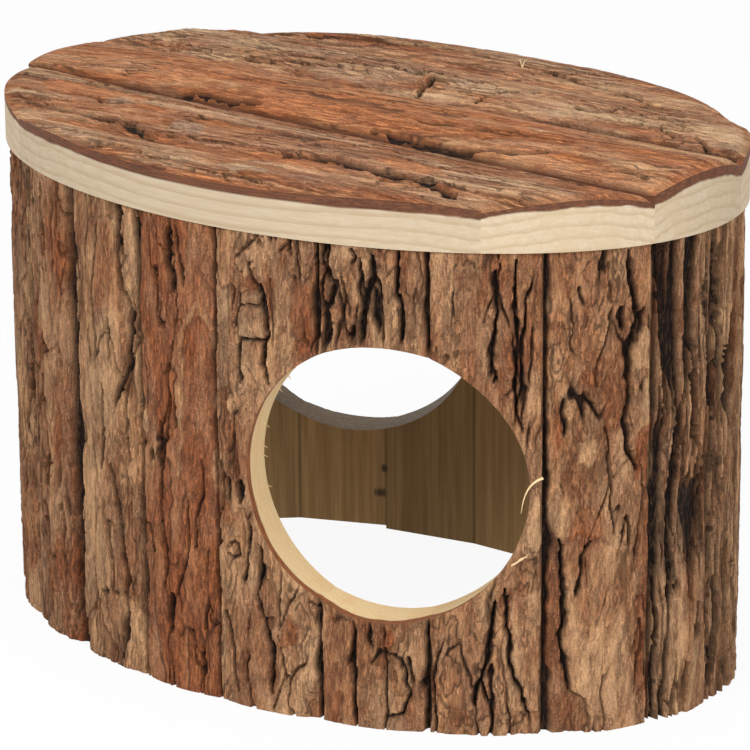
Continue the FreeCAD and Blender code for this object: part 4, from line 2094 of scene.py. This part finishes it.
def wall_sheets() -> dict[int, BarkSheet]:
    """The bark of each stave, by its number. The ones that nobody has seen are of the same kinds."""
    sheets = {
        1: stave_1(), 2: stave_2(), 3: stave_3(), 4: stave_4(), 5: stave_5(), 16: stave_16(), 17: stave_17(),
        18: stave_18(), 19: stave_19(), 20: stave_20(),
    }
    kinds = {
        6: PLATED, 7: TAN, 8: SMOOTH_RED, 9: PLATED, 10: TAN,
        11: PLATED, 12: STRINGY, 13: PLATED, 14: TAN, 15: PLATED,
    }
    sheets.update({number: BarkSheet(SurfaceNoise(number), kind) for number, kind in kinds.items()})
    return sheets


ROOF_FIBROUS = BarkStyle(
    scale_width=3.6, scale_length=40.0, layers=4.0, layer_step=0.2, crack_gap=5.0, crack_run=80.0,
    crack_width=0.9, crack_depth=1.7, cracked=0.6, plate_width=5.0, plate_length=60.0, plate_step=0.35,
    rough=0.12, fibre=0.2, swell=0.3, lift=0.6, patchy=1.1, tone=0.5, red=0.62, grey=0.3,
)
ROOF_SMOOTH = BarkStyle(
    scale_width=7.0, scale_length=80.0, layers=3.0, layer_step=0.14, crack_gap=9.0, crack_run=120.0,
    crack_width=0.7, crack_depth=1.4, cracked=0.3, plate_width=7.0, plate_length=120.0, plate_step=0.2,
    rough=0.08, fibre=0.16, swell=0.3, lift=0.45, patchy=0.6, tone=0.72, red=0.78, grey=0.02,
)
ROOF_FLAKY = BarkStyle(
    scale_width=5.0, scale_length=24.0, layers=5.0, layer_step=0.28, crack_gap=7.0, crack_run=50.0,
    crack_width=1.0, crack_depth=1.9, cracked=0.55, plate_width=6.0, plate_length=36.0, plate_step=0.4,
    rough=0.2, fibre=0.12, swell=0.3, lift=0.8, patchy=0.8, tone=0.6, red=0.35, grey=0.45,
)


def front_slab_sheet() -> BarkSheet:
    """The front slab's bark: reddish and fibrous, with one pale grey scar."""
    return BarkSheet(
        SurfaceNoise(41), ROOF_FIBROUS, Shoulder(0.01, 0.0), Shoulder(0.3, 0.5), deepest=2.2,
        cracks=(
            Crack(((-59, -33), (-59.5, -26), (-61, -17), (-59.5, -10)), 0.9, 1.7),
            Crack(((-49.5, 36), (-50, 42), (-52.5, 48), (-54, 55)), 1.2, 1.8),
            Crack(((-52, -62), (-53, -50), (-55, -38)), 0.9, 1.6),
        ),
        facets=(
            Facet(((-59.5, -3), (-55, 0), (-54.5, 9), (-57.5, 11), (-62, 4)), -0.2, 0.9, 0.35, -0.6, 0.5),
            Facet(((-70, -80), (-45, -80), (-45, -45), (-70, -35)), 0.0, 0.2, 0.0, -0.25, 0.3),
        ),
    )


def front_middle_slab_sheet() -> BarkSheet:
    """The next slab's bark: red-brown with long dark hollows and two grey-green knots."""
    return BarkSheet(
        SurfaceNoise(42), ROOF_FIBROUS, Shoulder(0.3, 0.4), Shoulder(0.35, 0.8), deepest=2.2,
        cracks=(
            Crack(
                ((-38, -76), (-39, -66), (-39, -58), (-41, -50), (-41, -41), (-44, -35), (-47, -29)),
                2.4, 2.1,
            ),
            Crack(((-28.5, -79), (-28, -68), (-29, -61), (-31.5, -55)), 1.0, 1.7),
            Crack(((-30.5, -58), (-30.5, -54), (-26.5, -51)), 1.5, 1.9),
            Crack(
                ((-42.5, 6), (-41, 12), (-40, 18), (-41, 26), (-41.5, 33), (-42, 43), (-44.5, 51), (-47, 57)),
                3.2, 2.2,
            ),
            Crack(((-10.5, -85), (-13, -74), (-12, -65), (-12.5, -58)), 1.7, 2.0),
            Crack(((-22.5, 55), (-23.5, 63), (-22.5, 70), (-25, 79), (-23, 85)), 1.5, 2.0),
            Crack(((-33, 0), (-34, 14), (-32, 30), (-34, 46)), 0.9, 1.6),
            Crack(((-20, -40), (-21, -20), (-19.5, 0), (-22, 20)), 0.9, 1.6),
        ),
        facets=(
            Facet(
                ((-22, -86), (-16.5, -80), (-20.5, -63), (-19, -50), (-26, -50), (-28, -60), (-27.5, -74)),
                0.0, 1.0, 0.3, 0.4, -0.3,
            ),
            Facet(
                ((-41.5, -33), (-44.5, -22), (-43.5, -7), (-46, 3), (-48, -5), (-48.3, -25)),
                0.7, 0.6, -0.35, 0.2,
            ),
            Facet(((-30, -56), (-26, -55), (-25.5, -50), (-29, -51)), 0.2, 1.0, -0.3, -1.0, 1.0),
            Facet(((-36, -32), (-33, -30), (-34.5, -25), (-39, -22), (-40, -26)), 0.3, 1.0, -0.25, -1.0, 1.0),
            Facet(((-35.5, 26), (-32, 34), (-35, 45), (-40.5, 47), (-41, 38)), 0.0, 0.7, 0.2, 0.4, -0.2),
        ),
    )


def middle_slab_sheet() -> BarkSheet:
    """The highest slab's bark: smooth, orange-brown and streaked, with dark ragged edges."""
    return BarkSheet(
        SurfaceNoise(43), ROOF_SMOOTH, Shoulder(0.45, 1.5), Shoulder(0.2, 0.4), deepest=2.3,
        cracks=(
            Crack(((-12, -52), (-11, -43), (-11.5, -34), (-11.5, -24)), 1.6, 2.1),
            Crack(
                ((-14.5, 12), (-15.5, 23), (-17, 31), (-17, 39), (-15.5, 46), (-15.5, 54), (-12.5, 62)),
                1.7, 2.2,
            ),
            Crack(((0, -60), (-2, -30), (0.5, 0), (-1.5, 30)), 0.5, 1.3),
            Crack(((5, -40), (4, -10), (5.5, 20)), 0.5, 1.2),
            Crack(((17, -90), (17, -80), (16, -68), (12, -57)), 1.1, 1.8),
            Crack(((-17, 78), (-16, 84), (-17.5, 90)), 1.2, 1.9),
        ),
        facets=(
            Facet(((-3, 51), (-1.5, 51), (-1.5, 53), (-3, 53)), -0.2, 1.0, 1.2, -1.2, -0.3),
            Facet(((-2, 5.5), (-0.5, 5.5), (-0.5, 9), (-2, 9)), 0.1, 1.0, 0.3, -1.2, 0.9),
            Facet(((-7.5, 89), (-3.5, 92), (-4, 99), (-12, 94)), 0.2, 0.6, -0.2, 0.4),
        ),
    )


def back_middle_slab_sheet() -> BarkSheet:
    """The fourth slab's bark: grey-tan, flaky and cracked, with one flake standing up."""
    return BarkSheet(
        SurfaceNoise(44), ROOF_FLAKY, Shoulder(0.6, 1.4), Shoulder(0.5, 1.0), deepest=2.3,
        cracks=(
            Crack(((13.5, 40), (12.5, 52), (12.5, 66), (12, 78), (11, 96)), 2.6, 2.3),
            Crack(
                ((21, -52), (20.5, -46), (23, -41), (22.5, -35), (23.5, -29), (24.5, -20), (24.5, -14)),
                1.8, 2.3,
            ),
            Crack(((38.5, -53), (39.5, -47), (39, -40), (39.5, -29)), 1.2, 1.9),
            Crack(((30, -19), (30, -13), (29, -8), (31, 0), (30, 7)), 0.9, 1.8),
            Crack(((17, 20), (22, 21), (25.5, 24), (27.5, 30), (29, 37), (28.5, 45)), 1.1, 2.0),
            Crack(((23, 45), (21, 50), (23.5, 54), (29, 54)), 1.0, 1.8),
            Crack(((27.5, 57), (25.5, 65), (26, 71), (30, 85)), 1.0, 1.8),
            Crack(((19, 71), (16, 77), (18, 81), (12.5, 88), (13, 94)), 1.0, 1.8),
            Crack(((13, 4), (19, 3.5), (29, 0.5)), 1.2, 2.1),
        ),
        facets=(
            Facet(((12, 2), (18.5, 0.5), (29.5, -3.5), (29, -1), (14, 3.5)), -0.7, 1.0, -0.3, 0.1),
            Facet(((17, 20), (22, 21), (25.5, 24), (27, 30), (23, 45), (17, 44)), -0.1, 0.7, 0.15, -0.1, 0.2),
            Facet(((16, 77), (18, 81), (13, 88), (12, 95), (20, 96), (25, 80)), 0.0, 0.5, 0.0, -0.2, 0.3),
        ),
    )


def back_slab_sheet() -> BarkSheet:
    """The back slab's bark: red-brown, with one long dark hollow along its front."""
    return BarkSheet(
        SurfaceNoise(45), ROOF_FIBROUS, Shoulder(0.7, 1.3), Shoulder(0.01, 0.0), deepest=2.2,
        cracks=(Crack(((53.5, 9), (53, 14), (50.5, 24), (48, 33), (46, 44), (43.5, 54)), 1.8, 2.1),),
        facets=(Facet(((44, -77), (46, -72), (43.5, -68), (40, -70)), 0.0, 0.8, 0.2, -0.7, 0.7),),
    )


def roof_slabs() -> tuple[SlabPlan, ...]:
    """The roof's slabs, from the front to the back. Their marks' places are Y, then X."""
    return (
        SlabPlan("roof_slab_front", 8.7, 1.6, front_slab_sheet(), 0.0, (3.0, 0.2)),
        SlabPlan("roof_slab_front_middle", 8.2, 2.6, front_middle_slab_sheet(), 0.8, (1.0, 1.0)),
        SlabPlan("roof_slab_middle", 10.2, 3.2, middle_slab_sheet(), 2.0),
        SlabPlan("roof_slab_back_middle", 10.5, 2.2, back_middle_slab_sheet(), 1.0),
        SlabPlan("roof_slab_back", 9.5, 1.8, back_slab_sheet()),
    )


BARK_SECTION = (srgb(124, 78, 52), srgb(78, 45, 29))
INSIDE_WOOD = (srgb(212, 174, 118), srgb(144, 108, 66), srgb(172, 136, 88))

# A depth of bark that no inside wall has
NO_BARK = -9.0


def wall_finishes(shared: SharedEffects) -> dict[Side, Finishes]:
    """The wall's materials, by the doorway that is bored through it. The back one's bore is grey, darkened as
    painted shade.
    """
    # The bark's sixth colour is the dirt in its fissures and the shade that is painted there.
    bark = BarkFinish(
        "wall_bark", srgb(240, 184, 132), srgb(112, 72, 47), srgb(198, 116, 70), srgb(118, 66, 38),
        srgb(206, 168, 132), srgb(28, 16, 10), (1900.0, 1900.0, 420.0), (560.0, 560.0, 150.0),
    ).make(shared)
    cut = PineFinish(
        "wall_cut_pine", srgb(252, 224, 174), srgb(228, 186, 128), srgb(242, 202, 148),
        srgb(168, 106, 68), srgb(120, 72, 46), (900.0, 900.0, 120.0),
        bark_depth=2.2, ring_share=0.2, fibre_share=0.3,
    ).make(shared)
    # A darker, greyer copy of the cut pine: the back doorway's bore is painted with its shade.
    shaded_cut = PineFinish(
        "shaded_cut_pine", srgb(150, 132, 110), srgb(116, 96, 74), srgb(132, 112, 88), *BARK_SECTION,
        (900.0, 900.0, 120.0), bark_depth=0.3, ring_share=0.35, fibre_share=0.6,
    ).make(shared)
    inside = PineFinish(
        "wall_inside_pine", *INSIDE_WOOD, *BARK_SECTION, (700.0, 700.0, 25.0),
        bark_depth=NO_BARK, ring_share=0.0, fibre_share=0.6, plank_share=0.3, seam_share=0.4,
        knots=((-32.0, 52.5, 17.0, 1.5), (-33.0, 52.0, 10.0, 2.0)),
    ).make(shared)
    return {Side.FRONT: Finishes(bark, cut, inside), Side.BACK: Finishes(bark, shaded_cut, inside)}


def roof_finishes(shared: SharedEffects) -> Finishes:
    """The roof's materials."""
    # The bark's sixth colour is the dirt in its fissures and the shade that is painted there.
    bark = BarkFinish(
        "roof_bark", srgb(255, 212, 160), srgb(134, 78, 52), srgb(252, 162, 102), srgb(156, 88, 54),
        srgb(234, 196, 164), srgb(34, 19, 11), (220.0, 1900.0, 1900.0), (90.0, 620.0, 620.0),
    ).make(shared)
    cut = PineFinish(
        "roof_cut_pine", srgb(212, 193, 165), srgb(176, 148, 110), srgb(202, 178, 144), *BARK_SECTION,
        (30.0, 900.0, 900.0), bark_depth=3.7, rings_per_mm=0.33, ring_share=0.45, fibre_share=0.3,
    ).make(shared)
    inside = PineFinish(
        "roof_inside_pine", *INSIDE_WOOD, *BARK_SECTION, (25.0, 700.0, 700.0),
        bark_depth=NO_BARK, ring_share=0.0, fibre_share=0.6, plank_share=0.3, seam_share=0.4,
    ).make(shared)
    return Finishes(bark, cut, inside)


def main() -> None:
    """Builds the house's finished pieces and the studio."""
    logging.basicConfig(level=logging.INFO, format="%(message)s")
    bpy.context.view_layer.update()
    Studio().build()
    shared = SharedEffects.make()
    sawn = wall_finishes(shared)
    oval = Oval()
    doors = (Doorway(Side.FRONT, 14.0, 1, (20, 1, 2)), Doorway(Side.BACK, 22.0, 11, (10, 11, 12)))
    Wall(oval, sawn[Side.FRONT], wall_sheets(), doors, sawn).build()
    Roof(oval, roof_finishes(shared), roof_slabs()).build()
    LooseFibres(sawn[Side.FRONT].cut, doors[0]).build(oval)


if __name__ == "__main__":
    main()
